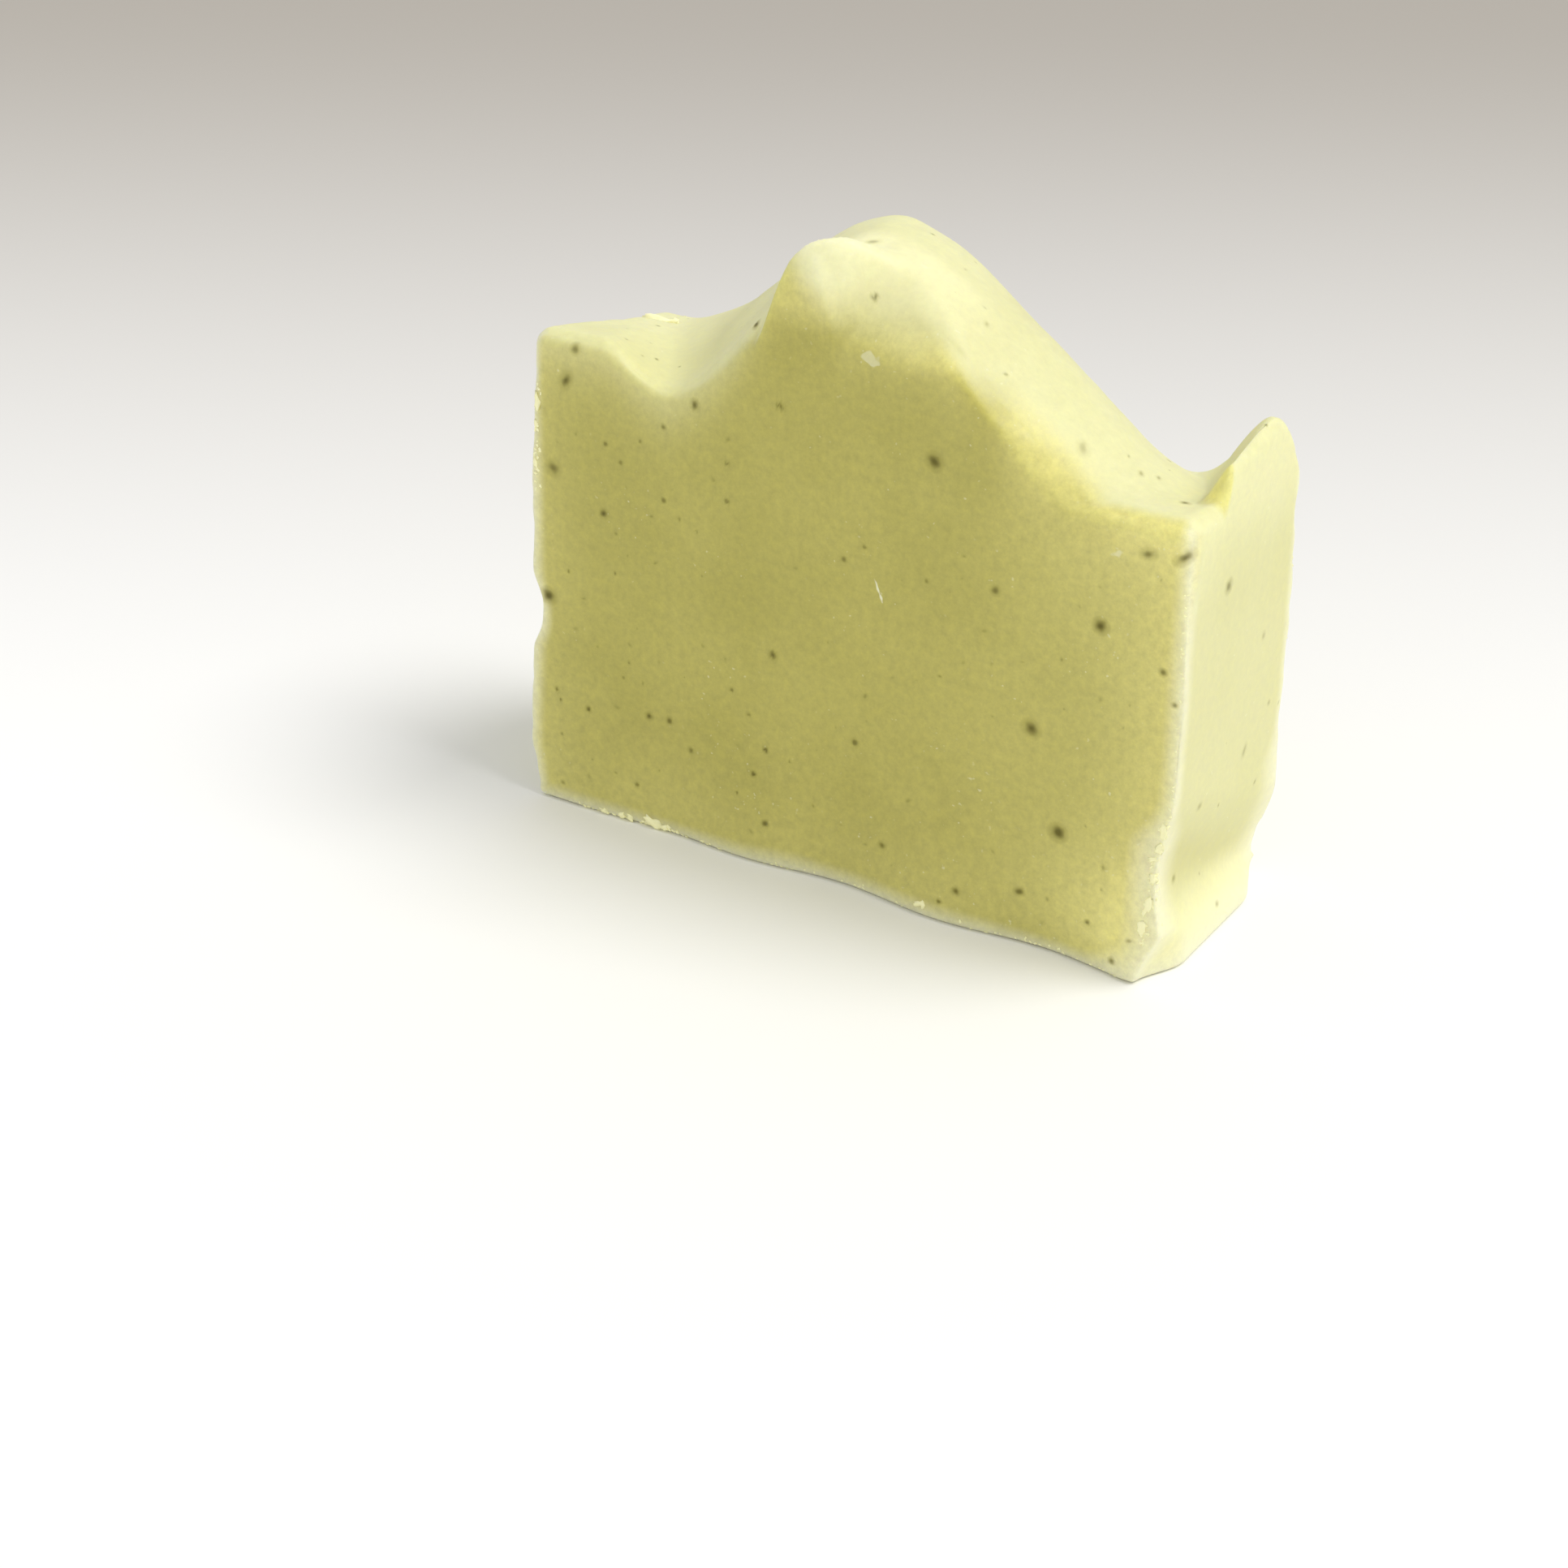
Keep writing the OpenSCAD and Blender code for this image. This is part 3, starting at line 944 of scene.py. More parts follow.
    def shade(self, points: Array, normals: Array) -> Array:
        """Gives the painted shade of the right wall, its crease, the trough and the flanks.

        Args:
            points: points of the surface in millimetres.
            normals: its outward normals.

        Returns:
            The share of the painted shade at each point.
        """
        s = self.form.sizes
        x, y, z = points.T
        crease = z - mix(s.crease_front, s.crease_back, y / s.thickness + 0.5)
        wall = self.wall_shade.at(points) + self.crease_shade.at(crease)
        wall = wall * ease(normals[:, 0], *self.wall_faces)
        trough = self.trough_shade.at(points) * ease(-normals[:, 0], *self.trough_faces)
        flanks = sum(bell.at(x) for bell in self.flank_shades) * ease(normals[:, 2], *self.flank_faces)
        return np.clip(wall + trough + flanks, 0.0, 1.0)


@dataclass
class SoapSkin:
    """The bar's closed surface: rings from cut to cut, closed by the two cuts and the foot."""

    sizes: BarSizes = field(default_factory=BarSizes)
    lattice: Lattice = field(default_factory=Lattice)
    relief: Relief = field(default_factory=Relief)

    def __post_init__(self) -> None:
        """Works out the bar's form, its marks and tones, and the lattice's places."""
        grid = self.lattice
        self.form = BarForm(self.sizes)
        self.marks = Marks(self.form)
        self.tones = Tones(self.form)
        self.depths = self.spread(self.form.half_depth, self.sizes.roll_radius, grid.depth_steps)
        self.rows = self.row_heights()
        self.column_count = 2 * grid.edge_steps + grid.top_steps + grid.slope_steps

    def spread(self, half: float, edge: float, steps: int) -> Array:
        """Gives places from -half to half, with finer steps across the soft edges.

        Args:
            half: half of the whole length in millimetres.
            edge: length of each soft edge.
            steps: number of even steps between the soft edges.

        Returns:
            The places, in rising order.
        """
        fine = edge * np.arange(self.lattice.edge_steps) / self.lattice.edge_steps
        middle = np.linspace(edge - half, half - edge, steps + 1)
        return np.concatenate([fine - half, middle, (half - fine)[::-1]])

    def row_heights(self) -> Array:
        """Gives the rows' heights on the blank.

        Returns:
            Heights across the foot's edge, then up the wall, then across the top's edge.
        """
        s, grid = self.sizes, self.lattice
        shoulder = s.blank_height - s.roll_radius
        foot = np.array(grid.foot_shares) * s.foot_radius
        wall = np.linspace(s.foot_radius, shoulder, grid.wall_steps + 1)
        edge = shoulder + s.roll_radius * np.arange(1, grid.edge_steps + 1) / grid.edge_steps
        return np.concatenate([foot, wall, edge])

    def columns(self, y: Array) -> Array:
        """Gives the columns' places across the width, which follow the foot of the lip.

        Args:
            y: the rings' depths in millimetres.

        Returns:
            One row of places for each ring.
        """
        s, grid, form = self.sizes, self.lattice, self.form
        slope_foot = form.half_width - form.along(s.lip_foot, y)[:, None]
        slope_edge = form.half_width - np.maximum(form.along(s.lip_edge, y), s.lip_round)[:, None]
        left = s.roll_radius * np.arange(grid.edge_steps) / grid.edge_steps - form.half_width
        left = np.broadcast_to(left, (len(y), grid.edge_steps))
        over = mix(s.roll_radius - form.half_width, slope_foot, np.arange(grid.top_steps) / grid.top_steps)
        slope = mix(slope_foot, slope_edge, np.arange(grid.slope_steps) / grid.slope_steps)
        right = mix(slope_edge, form.half_width, np.arange(grid.edge_steps + 1) / grid.edge_steps)
        return np.concatenate([left, over, slope, right], axis=1)

    def blank(self) -> tuple[Array, list[Array]]:
        """Lays the lattice on the blank box.

        Returns:
            The blank's points in millimetres, and the grids of point numbers of the shell,
            the two cuts and the foot. The foot's inner points come last.
        """
        half, top = self.form.half_width, self.sizes.blank_height
        ny, nx, nz = len(self.depths) - 1, self.column_count, len(self.rows) - 1
        across = self.columns(self.depths)
        rows = np.broadcast_to(self.rows[:nz], (ny + 1, nz))
        x = np.concatenate([np.full_like(rows, -half), across, np.full_like(rows, half)], 1)
        z = np.concatenate([rows, np.full_like(across, top), rows[:, ::-1]], 1)
        y = np.broadcast_to(self.depths[:, None], x.shape)
        ring = x.shape[1]
        rings = np.stack([x, y, z], -1).reshape(-1, 3)
        shell = np.arange((ny + 1) * ring).reshape(ny + 1, ring)
        parts, numbers, base = [rings], [shell], len(rings)
        for j in (0, ny):
            grid = np.empty((nx + 1, nz + 1), dtype=int)
            grid[0, :] = shell[j, : nz + 1]
            grid[nx, :] = shell[j, ::-1][: nz + 1]
            grid[:, nz] = shell[j, nz : nz + nx + 1]
            grid[1:nx, :nz] = base + np.arange((nx - 1) * nz).reshape(nx - 1, nz)
            gx, gz = np.meshgrid(across[j, 1:nx], self.rows[:nz], indexing="ij")
            parts.append(np.stack([gx, np.full_like(gx, self.depths[j]), gz], -1).reshape(-1, 3))
            numbers.append(grid)
            base += (nx - 1) * nz
        foot = np.empty((nx + 1, ny + 1), dtype=int)
        foot[0, :], foot[nx, :] = shell[:, 0], shell[:, -1]
        foot[:, 0], foot[:, ny] = numbers[1][:, 0], numbers[2][:, 0]
        foot[1:nx, 1:ny] = base + np.arange((nx - 1) * (ny - 1)).reshape(nx - 1, ny - 1)
        numbers.append(foot)
        return np.concatenate(parts), numbers

    @staticmethod
    def patch(points: Array, foot: Array) -> Array:
        """Fills the foot between its four edges.

        Args:
            points: points that hold the edges, in millimetres.
            foot: the foot's grid of point numbers.

        Returns:
            The inner points: both pairs of edges blended, summed, less the blended corners.
        """
        u = np.linspace(0.0, 1.0, foot.shape[0])[:, None, None]
        v = np.linspace(0.0, 1.0, foot.shape[1])[None, :, None]
        left, right = points[foot[0]][None], points[foot[-1]][None]
        front, back = points[foot[:, 0]][:, None], points[foot[:, -1]][:, None]
        corners = mix(mix(left[:, :1], right[:, :1], u), mix(left[:, -1:], right[:, -1:], u), v)
        return (mix(front, back, v) + mix(left, right, u) - corners)[1:-1, 1:-1].reshape(-1, 3)

    @staticmethod
    def quads(grid: Array, flip: bool) -> Array:
        """Joins a grid of point numbers into quads.

        Args:
            grid: the point numbers.
            flip: whether the quads are turned over, so that they face outwards.

        Returns:
            One row of four point numbers for each quad.
        """
        corners = [grid[:-1, :-1], grid[1:, :-1], grid[1:, 1:], grid[:-1, 1:]]
        faces = np.stack([corner.ravel() for corner in corners], -1)
        return faces[:, ::-1] if flip else faces

    @staticmethod
    def normals(points: Array, faces: Array) -> Array:
        """Gives each point's outward normal: its quads' diagonals crossed, summed and scaled.

        Args:
            points: the surface's points.
            faces: its quads, as rows of point numbers.

        Returns:
            One normal for each point.
        """
        a, b, c, d = (points[faces[:, corner]] for corner in range(4))
        cross = np.cross(c - a, d - b)
        sums = (
            sum(np.bincount(faces[:, corner], cross[:, axis], len(points)) for corner in range(4))
            for axis in range(3)
        )
        return unit(np.stack(list(sums), -1))

    def rim_distances(self, blank: Array, inner: int) -> tuple[Array, Array]:
        """Gives the ways to the nearest edge: the second smallest way to a face of the blank.

        Args:
            blank: the blank's points in millimetres.
            inner: number of the foot's inner points, which all get half the thickness.

        Returns:
            The way to any edge, and the way to an upright or foot edge.
        """
        form = self.form
        faces = [form.half_width - np.abs(blank[:, 0]), form.half_depth - np.abs(blank[:, 1]), blank[:, 2]]
        rest = np.full(inner, form.half_depth)
        kinds = (faces + [self.sizes.blank_height - blank[:, 2]], faces)
        ways = [np.concatenate([np.sort(np.stack(kind), axis=0)[1], rest]) for kind in kinds]
        return ways[0], ways[1]

    def corner(self) -> Array:
        """Gives the high corner of the box that holds the bar and its crumbs."""
        s = self.sizes
        return np.array([s.width / 2, s.thickness / 2 - BOX_SPARE, s.knob_height - BOX_SPARE])

    def build(self, material: Material) -> tuple[Piece, Array, Array]:
        """Makes the bar's surface.

        Args:
            material: the soap's finish.

        Returns:
            The new object, with its place in its mesh, its points in millimetres and their
            outward normals.
        """
        blank, (shell, front, back, foot) = self.blank()
        plain = self.form.skin(*blank.T)
        plain = np.concatenate([plain, self.patch(plain, foot)])
        grids = ((shell, True), (front, False), (back, True), (foot, True))
        faces = np.concatenate([self.quads(grid, flip) for grid, flip in grids])
        any_edge, low_edge = self.rim_distances(blank, len(plain) - len(blank))
        normals = self.normals(plain, faces)
        points = boxed(self.relief.moved(plain, normals, any_edge), self.corner())
        piece = mesh_object("soap_bar_skin", points, faces, material)
        tones = self.tones
        values = (
            *self.marks.offsets(points, normals),
            tones.cut(plain, normals),
            tones.rim(plain, low_edge),
            # The next three values are painted light, painted shade and painted light again.
            tones.glow(plain),
            tones.shade(plain, normals),
            tones.thin(plain, normals),
        )
        for name, value in zip(ATTRIBUTES, values):
            add_attribute(piece, name, value)
        return piece, points, normals


def mesh_object(name: str, points: Array, faces: list[list[int]] | Array, material: Material) -> Piece:
    """Makes a smooth mesh object with its place in its mesh.

    Args:
        name: the object's name.
        points: its points in millimetres.
        faces: its faces, as rows of point numbers.
        material: its finish.

    Returns:
        The new object, linked to the scene.
    """
    mesh = bpy.data.meshes.new(name)
    rows = faces if isinstance(faces, list) else faces.tolist()
    mesh.from_pydata((points * MM).tolist(), [], rows)
    mesh.polygons.foreach_set("use_smooth", np.ones(len(mesh.polygons), dtype=bool))
    mesh.materials.append(material)
    mesh.update()
    piece = bpy.data.objects.new(name, mesh)
    bpy.context.scene.collection.objects.link(piece)
    return piece


def add_attribute(piece: Piece, name: str, values: Array) -> None:
    """Stores a number or a vector on each point of a piece.

    Args:
        piece: the piece.
        name: the attribute's name.
        values: one value for each point, or one row of three.
    """
    kind, slot = ("FLOAT_VECTOR", "vector") if values.ndim > 1 else ("FLOAT", "value")
    attribute = piece.data.attributes.new(name, kind, "POINT")
    attribute.data.foreach_set(slot, values.astype(np.float32).ravel())


@dataclass(frozen=True)
class Crumb:
    """A crumb of soap that clings to the bar: its rough place, its half sizes and its turn.

    The sizes run along the surface, up the surface and out of it, in millimetres.
    """

    place: Triple
    size: Triple
    turn: float = 0.0


@dataclass(frozen=True)
class CrumbRow:
    """A row of small crumbs between two places near an edge, in millimetres."""

    start: Triple
    end: Triple
    count: int
    size: Span
    spread: float


@dataclass(frozen=True)
class Crumbs:
    """Crumbs that the cutter left along the edges: flat flakes with a ragged outline."""

    seed: int = 31
    places: tuple[Crumb, ...] = (
        Crumb((-23.3, -13.6, 0.9), (1.15, 0.62, 0.24), -14),
        Crumb((-21.9, -13.6, 0.7), (0.5, 0.4, 0.2), 20),
        Crumb((-29.4, -13.6, 0.7), (0.5, 0.35, 0.2), 5),
        Crumb((-27.4, -13.6, 0.6), (0.45, 0.4, 0.2), 30),
        Crumb((-26.0, -13.6, 0.7), (0.35, 0.45, 0.2), 0),
        Crumb((11.7, -13.9, 1.6), (0.7, 0.24, 0.16), 25),
        Crumb((12.2, -13.9, 1.5), (0.24, 0.5, 0.16), 10),
        Crumb((38.8, -13.6, 18.4), (0.45, 0.8, 0.08), 5),
        Crumb((38.6, -13.6, 16.4), (0.4, 0.6, 0.08), -15),
        Crumb((38.0, -13.6, 14.8), (0.5, 0.22, 0.08), 20),
        Crumb((38.2, -13.4, 12.6), (0.4, 0.6, 0.08), 10),
        Crumb((38.0, -13.4, 9.4), (0.4, 1.0, 0.07), -12),
        Crumb((37.6, -13.4, 7.0), (0.45, 0.7, 0.07), 8),
        Crumb((-38.7, -13.7, 48.2), (0.42, 0.95, 0.2), 5),
        Crumb((-39.0, -13.7, 45.2), (0.2, 0.8, 0.16), -6),
        Crumb((-39.0, -13.7, 41.0), (0.22, 0.9, 0.16), 4),
        Crumb((-36.2, 7.2, 51.8), (1.5, 0.6, 0.45), 8),
        Crumb((-34.5, 7.9, 51.6), (0.9, 0.45, 0.35), -20),
    )
    rows: tuple[CrumbRow, ...] = (
        CrumbRow((-33.0, -13.6, 0.5), (-14.0, -13.6, 0.4), 46, (0.10, 0.26), 0.25),
        CrumbRow((-14.0, -13.6, 0.3), (10.0, -13.8, 0.4), 26, (0.07, 0.15), 0.2),
        CrumbRow((16.0, -13.8, 0.4), (36.0, -13.6, 0.4), 22, (0.08, 0.18), 0.25),
        CrumbRow((39.4, -13.4, 21.0), (38.0, -13.2, 5.0), 40, (0.08, 0.20), 0.35),
        CrumbRow((39.6, -13.2, 45.0), (39.6, -13.3, 22.0), 22, (0.06, 0.14), 0.15),
        CrumbRow((39.4, 13.3, 40.0), (38.6, 13.4, 10.0), 30, (0.10, 0.22), 0.25),
        CrumbRow((-38.6, -13.6, 50.0), (-38.8, -13.5, 37.0), 24, (0.10, 0.24), 0.25),
        CrumbRow((-36.0, 12.6, 51.5), (-29.0, 12.8, 51.0), 16, (0.16, 0.34), 0.3),
        CrumbRow((-39.4, 13.3, 46.0), (-38.8, 13.4, 6.0), 26, (0.10, 0.22), 0.25),
        CrumbRow((-30.0, 13.6, 0.4), (34.0, 13.6, 0.4), 40, (0.10, 0.24), 0.25),
    )
    sink: float = 0.25
    round_steps: int = 12
    rise_steps: int = 7
    shape: Span = (1.3, 0.8)
    flatness: float = 0.4
    turn: Span = (0.0, 180.0)
    squareness: float = 0.8
    ragged: float = 0.42
    ripple_length: float = 0.9
    ripple_waves: int = 16
    first_seed: int = 40

    def all(self) -> list[Crumb]:
        """Gives the crumbs that are listed and those drawn along the rows.

        Returns:
            The crumbs.
        """
        rng = np.random.default_rng(self.seed)
        found = list(self.places)
        for row in self.rows:
            for share in np.sort(rng.uniform(0.0, 1.0, row.count)):
                place = mix(np.array(row.start), np.array(row.end), share)
                place = place + rng.normal(0.0, row.spread, 3)
                long, wide = rng.uniform(*row.size, 2) * self.shape
                size = (long, wide, min(long, wide) * self.flatness)
                found.append(Crumb(tuple(place.tolist()), size, float(rng.uniform(*self.turn))))
        return found

    def ball(self, crumb: Crumb, seed: int, ways: Array) -> tuple[Array, list[list[int]]]:
        """Makes one crumb: a squashed ball whose radius follows a ripple, closed at both poles.

        Args:
            crumb: its sizes and turn.
            seed: seed of its ripple.
            ways: the ways along, up and out of the surface, one in each row.

        Returns:
            Its points round its centre in millimetres, and its faces.
        """
        turn = np.linspace(0.0, 2.0 * np.pi, self.round_steps, endpoint=False)
        rise = np.linspace(-np.pi / 2, np.pi / 2, self.rise_steps + 1)[1:-1]
        t, r = np.meshgrid(turn, rise)
        ball = np.stack([np.cos(r) * np.cos(t), np.cos(r) * np.sin(t), np.sin(r)], -1).reshape(-1, 3)
        ball = np.concatenate([ball, [(0.0, 0.0, -1.0), (0.0, 0.0, 1.0)]])
        ball = np.sign(ball) * np.abs(ball) ** self.squareness
        ripple = Ripple(self.ripple_length, seed, self.ripple_waves).at(ball)
        ball = ball * (1.0 + self.ragged * ripple)[:, None] * crumb.size
        c, s = np.cos(np.radians(crumb.turn)), np.sin(np.radians(crumb.turn))
        ball[:, 0], ball[:, 1] = ball[:, 0] * c - ball[:, 1] * s, ball[:, 0] * s + ball[:, 1] * c
        n, rows = self.round_steps, self.rise_steps - 1
        i, j = np.meshgrid(np.arange(rows - 1), np.arange(n), indexing="ij")
        k = (j + 1) % n
        sides = np.stack([i * n + j, i * n + k, (i + 1) * n + k, (i + 1) * n + j], -1).reshape(-1, 4)
        first, last = np.arange(n), np.arange(n) + (rows - 1) * n
        low = np.stack([np.roll(first, -1), first, np.full(n, rows * n)], -1)
        high = np.stack([last, np.roll(last, -1), np.full(n, rows * n + 1)], -1)
        return ball @ ways, sides.tolist() + low.tolist() + high.tolist()

    def build(self, material: Material, points: Array, normals: Array, corner: Array) -> Piece:
        """Makes all crumbs as one piece, each seated on the nearest point of the bar.

        Args:
            material: the crumbs' finish.
            points: the bar's surface in millimetres.
            normals: its outward normals.
            corner: high corner of the box that holds the bar, in millimetres.

        Returns:
            The new object.
        """
        found, faces, base = [], [], 0
        for index, crumb in enumerate(self.all()):
            nearest = int(np.argmin(((points - crumb.place) ** 2).sum(1)))
            out = normals[nearest]
            level = unit(np.cross((0.0, 0.0, 1.0), out))
            ways = np.stack([level, np.cross(out, level), out])
            ball, sides = self.ball(crumb, self.first_seed + index, ways)
            found.append(ball + points[nearest] - out * self.sink * crumb.size[2])
            faces += [[number + base for number in side] for side in sides]
            base += len(ball)
        return mesh_object("edge_crumbs", boxed(np.concatenate(found), corner), faces, material)


class Nodes:
    """A short hand for building one node tree."""

    def __init__(self, tree: bpy.types.NodeTree) -> None:
        """Keeps the node tree of a material or a group."""
        self.tree = tree

    def add(self, kind: str, **settings: object) -> Node:
        """Adds a node.

        Args:
            kind: the node's Blender type.
            settings: properties by name.

        Returns:
            The new node.
        """
        node = self.tree.nodes.new(kind)
        for name, value in settings.items():
            setattr(node, name, value)
        return node

    def put(self, node: Node, socket: str | int, value: object) -> None:
        """Sets an input of a node.

        Args:
            node: the node.
            socket: the input's name or number.
            value: a socket, which is linked to the input, or else its constant value.
        """
        if isinstance(value, Socket):
            self.tree.links.new(value, node.inputs[socket])
        else:
            node.inputs[socket].default_value = value

    def made(self, node: Node, output: str | int, inputs: dict[str | int, object]) -> Socket:
        """Sets a node's inputs.

        Args:
            node: the node.
            output: name or number of the output that is wanted.
            inputs: the value of each input by name or number.

        Returns:
            The output's socket.
        """
        for socket, value in inputs.items():
            self.put(node, socket, value)
        return node.outputs[output]

    def maths(self, operation: str, *values: object) -> Socket:
        """Adds a Math node and gives its result."""
        return self.made(self.add("ShaderNodeMath", operation=operation), 0, dict(enumerate(values)))

    def vector(self, operation: str, output: str, *values: object) -> Socket:
        """Adds a Vector Math node and gives the output that is named."""
        node = self.add("ShaderNodeVectorMath", operation=operation)
        return self.made(node, output, dict(enumerate(values)))

    def between(self, value: object, span: Span, start: float = 0.0, end: float = 1.0) -> Socket:
        """Adds a smooth Map Range.

        Args:
            value: what is mapped.
            span: the values that become start and end.
            start: the result at the span's first value and beyond it.
            end: the result at the span's second value and beyond it.

        Returns:
            The result's socket.
        """
        node = self.add("ShaderNodeMapRange", interpolation_type="SMOOTHSTEP")
        low, high = span
        limits = {"From Min": low, "From Max": high, "To Min": start, "To Max": end, "Value": value}
        return self.made(node, "Result", limits)

    def noise(self, where: object, scale: float, detail: float, roughness: float = 0.5) -> Socket:
        """Adds a Noise Texture.

        Args:
            where: the place at which it is read.
            scale: waves in each metre.
            detail: number of finer layers.
            roughness: strength of each finer layer.

        Returns:
            The socket of its factor.
        """
        inputs = {"Vector": where, "Scale": scale, "Detail": detail, "Roughness": roughness}
        return self.made(self.add("ShaderNodeTexNoise"), "Fac", inputs)

    def blend(self, share: object, first: object, second: object, mode: str = "MIX") -> Socket:
        """Adds a colour Mix.

        Args:
            share: share of the second colour.
            first: the colour at share 0.
            second: the colour that is blended in.
            mode: the way of blending.

        Returns:
            The result's socket.
        """
        node = self.add("ShaderNodeMix", data_type="RGBA", blend_type=mode)
        return self.made(node, 2, {0: share, 6: first, 7: second})

    def place(self) -> Socket:
        """Adds a Texture Coordinate node and gives the piece's own coordinates."""
        return self.add("ShaderNodeTexCoord").outputs["Object"]

    def shader(self, inputs: dict[str, object], **settings: object) -> None:
        """Adds a Principled BSDF and the material's output.

        Args:
            inputs: the shader's inputs by name.
            settings: the shader's properties by name.
        """
        surface = self.made(self.add("ShaderNodeBsdfPrincipled", **settings), "BSDF", inputs)
        self.put(self.add("ShaderNodeOutputMaterial"), "Surface", surface)


def new_material(name: str) -> tuple[Material, Nodes]:
    """Makes a material with an empty node tree.

    Args:
        name: the material's name.

    Returns:
        The material and the builder of its nodes.
    """
    material = bpy.data.materials.new(name)
    material.use_nodes = True
    material.node_tree.nodes.clear()
    return material, Nodes(material.node_tree)


def new_group(name: str, inputs: dict[str, str], outputs: tuple[str, ...]) -> tuple[Nodes, Node, Node]:
    """Makes an empty shader node group.

    Args:
        name: the group's name.
        inputs: kind of each input's socket by name.
        outputs: names of the outputs, which are all plain numbers.

    Returns:
        The group's builder, its input node and its output node.
    """
    tree = bpy.data.node_groups.new(name, "ShaderNodeTree")
    for sockets, way in ((inputs, "INPUT"), (dict.fromkeys(outputs, "Float"), "OUTPUT")):
        for socket, kind in sockets.items():
            tree.interface.new_socket(socket, in_out=way, socket_type=f"NodeSocket{kind}")
    nodes = Nodes(tree)
    return nodes, nodes.add("NodeGroupInput"), nodes.add("NodeGroupOutput")


@dataclass(frozen=True)
class SoapCloud:
    """The cloudiness of poured soap; each noise holds its scale, detail and roughness."""

    cloud: Triple = (60.0, 3.0, 0.5)
    cloud_span: Span = (0.3, 0.7)
    mottle: Triple = (1000.0, 4.0, 0.7)
    fine: Triple = (2600.0, 3.0, 0.6)
    broad: Triple = (700.0, 2.0, 0.5)
    fine_share: float = 0.5
    crowd: Triple = (110.0, 2.0, 0.5)
    crowd_span: Span = (0.42, 0.62)
    dot: Triple = (1700.0, 1.0, 0.5)
    dot_span: Span = (0.70, 0.78)

    def group(self) -> bpy.types.NodeTree:
        """Builds the node group.

        Returns:
            A group that takes a place and gives a soft cloud, a fine mottle, a grain height
            and small pale specks, which are dots where they crowd.
        """
        outputs = ("Cloud", "Mottle", "Grain", "Speck")
        nodes, source, target = new_group("soap_cloud", {"Place": "Vector"}, outputs)
        place = source.outputs["Place"]
        nodes.put(target, "Cloud", nodes.between(nodes.noise(place, *self.cloud), self.cloud_span))
        nodes.put(target, "Mottle", nodes.noise(place, *self.mottle))
        fine = nodes.maths("MULTIPLY", nodes.noise(place, *self.fine), self.fine_share)
        nodes.put(target, "Grain", nodes.maths("ADD", fine, nodes.noise(place, *self.broad)))
        crowd = nodes.between(nodes.noise(place, *self.crowd), self.crowd_span)
        dots = nodes.between(nodes.noise(place, *self.dot), self.dot_span)
        nodes.put(target, "Speck", nodes.maths("MULTIPLY", crowd, dots))
        return nodes.tree


@dataclass(frozen=True)
class HerbMark:
    """The shape of a fleck, in its own sizes: spans of the way to its centre, and its rags."""

    noise: Span = (1500.0, 0.0)
    rag: float = 0.7
    torn_rag: float = 2.4
    core: Span = (0.1, 1.5)
    halo: Span = (0.6, 3.0)
    pale: Span = (0.6, 1.3)

    def group(self) -> bpy.types.NodeTree:
        """Builds the node group.

        Returns:
            A group that takes the way, the tone and the place, and gives the dark core, the
            dark halo and the pale core. A tone under zero is a pale mark.
        """
        inputs = {"Way": "Vector", "Tone": "Float", "Place": "Vector"}
        nodes, source, target = new_group("herb_mark", inputs, ("Core", "Halo", "Pale"))
        length = nodes.vector("LENGTH", "Value", source.outputs["Way"])
        ragged = nodes.maths("SUBTRACT", nodes.noise(source.outputs["Place"], *self.noise), 0.5)
        away = nodes.maths("MULTIPLY_ADD", ragged, self.rag, length)
        torn = nodes.maths("MULTIPLY_ADD", ragged, self.torn_rag, length)
        tone = source.outputs["Tone"]
        dark = nodes.maths("MAXIMUM", tone, 0.0)
        pale = nodes.maths("MAXIMUM", nodes.maths("MULTIPLY", tone, -1.0), 0.0)
        kinds = {
            "Core": (away, self.core, dark),
            "Halo": (away, self.halo, dark),
            "Pale": (torn, self.pale, pale),
        }
        for name, (way, span, strength) in kinds.items():
            nodes.put(target, name, nodes.maths("MULTIPLY", nodes.between(way, span, 1.0, 0.0), strength))
        return nodes.tree


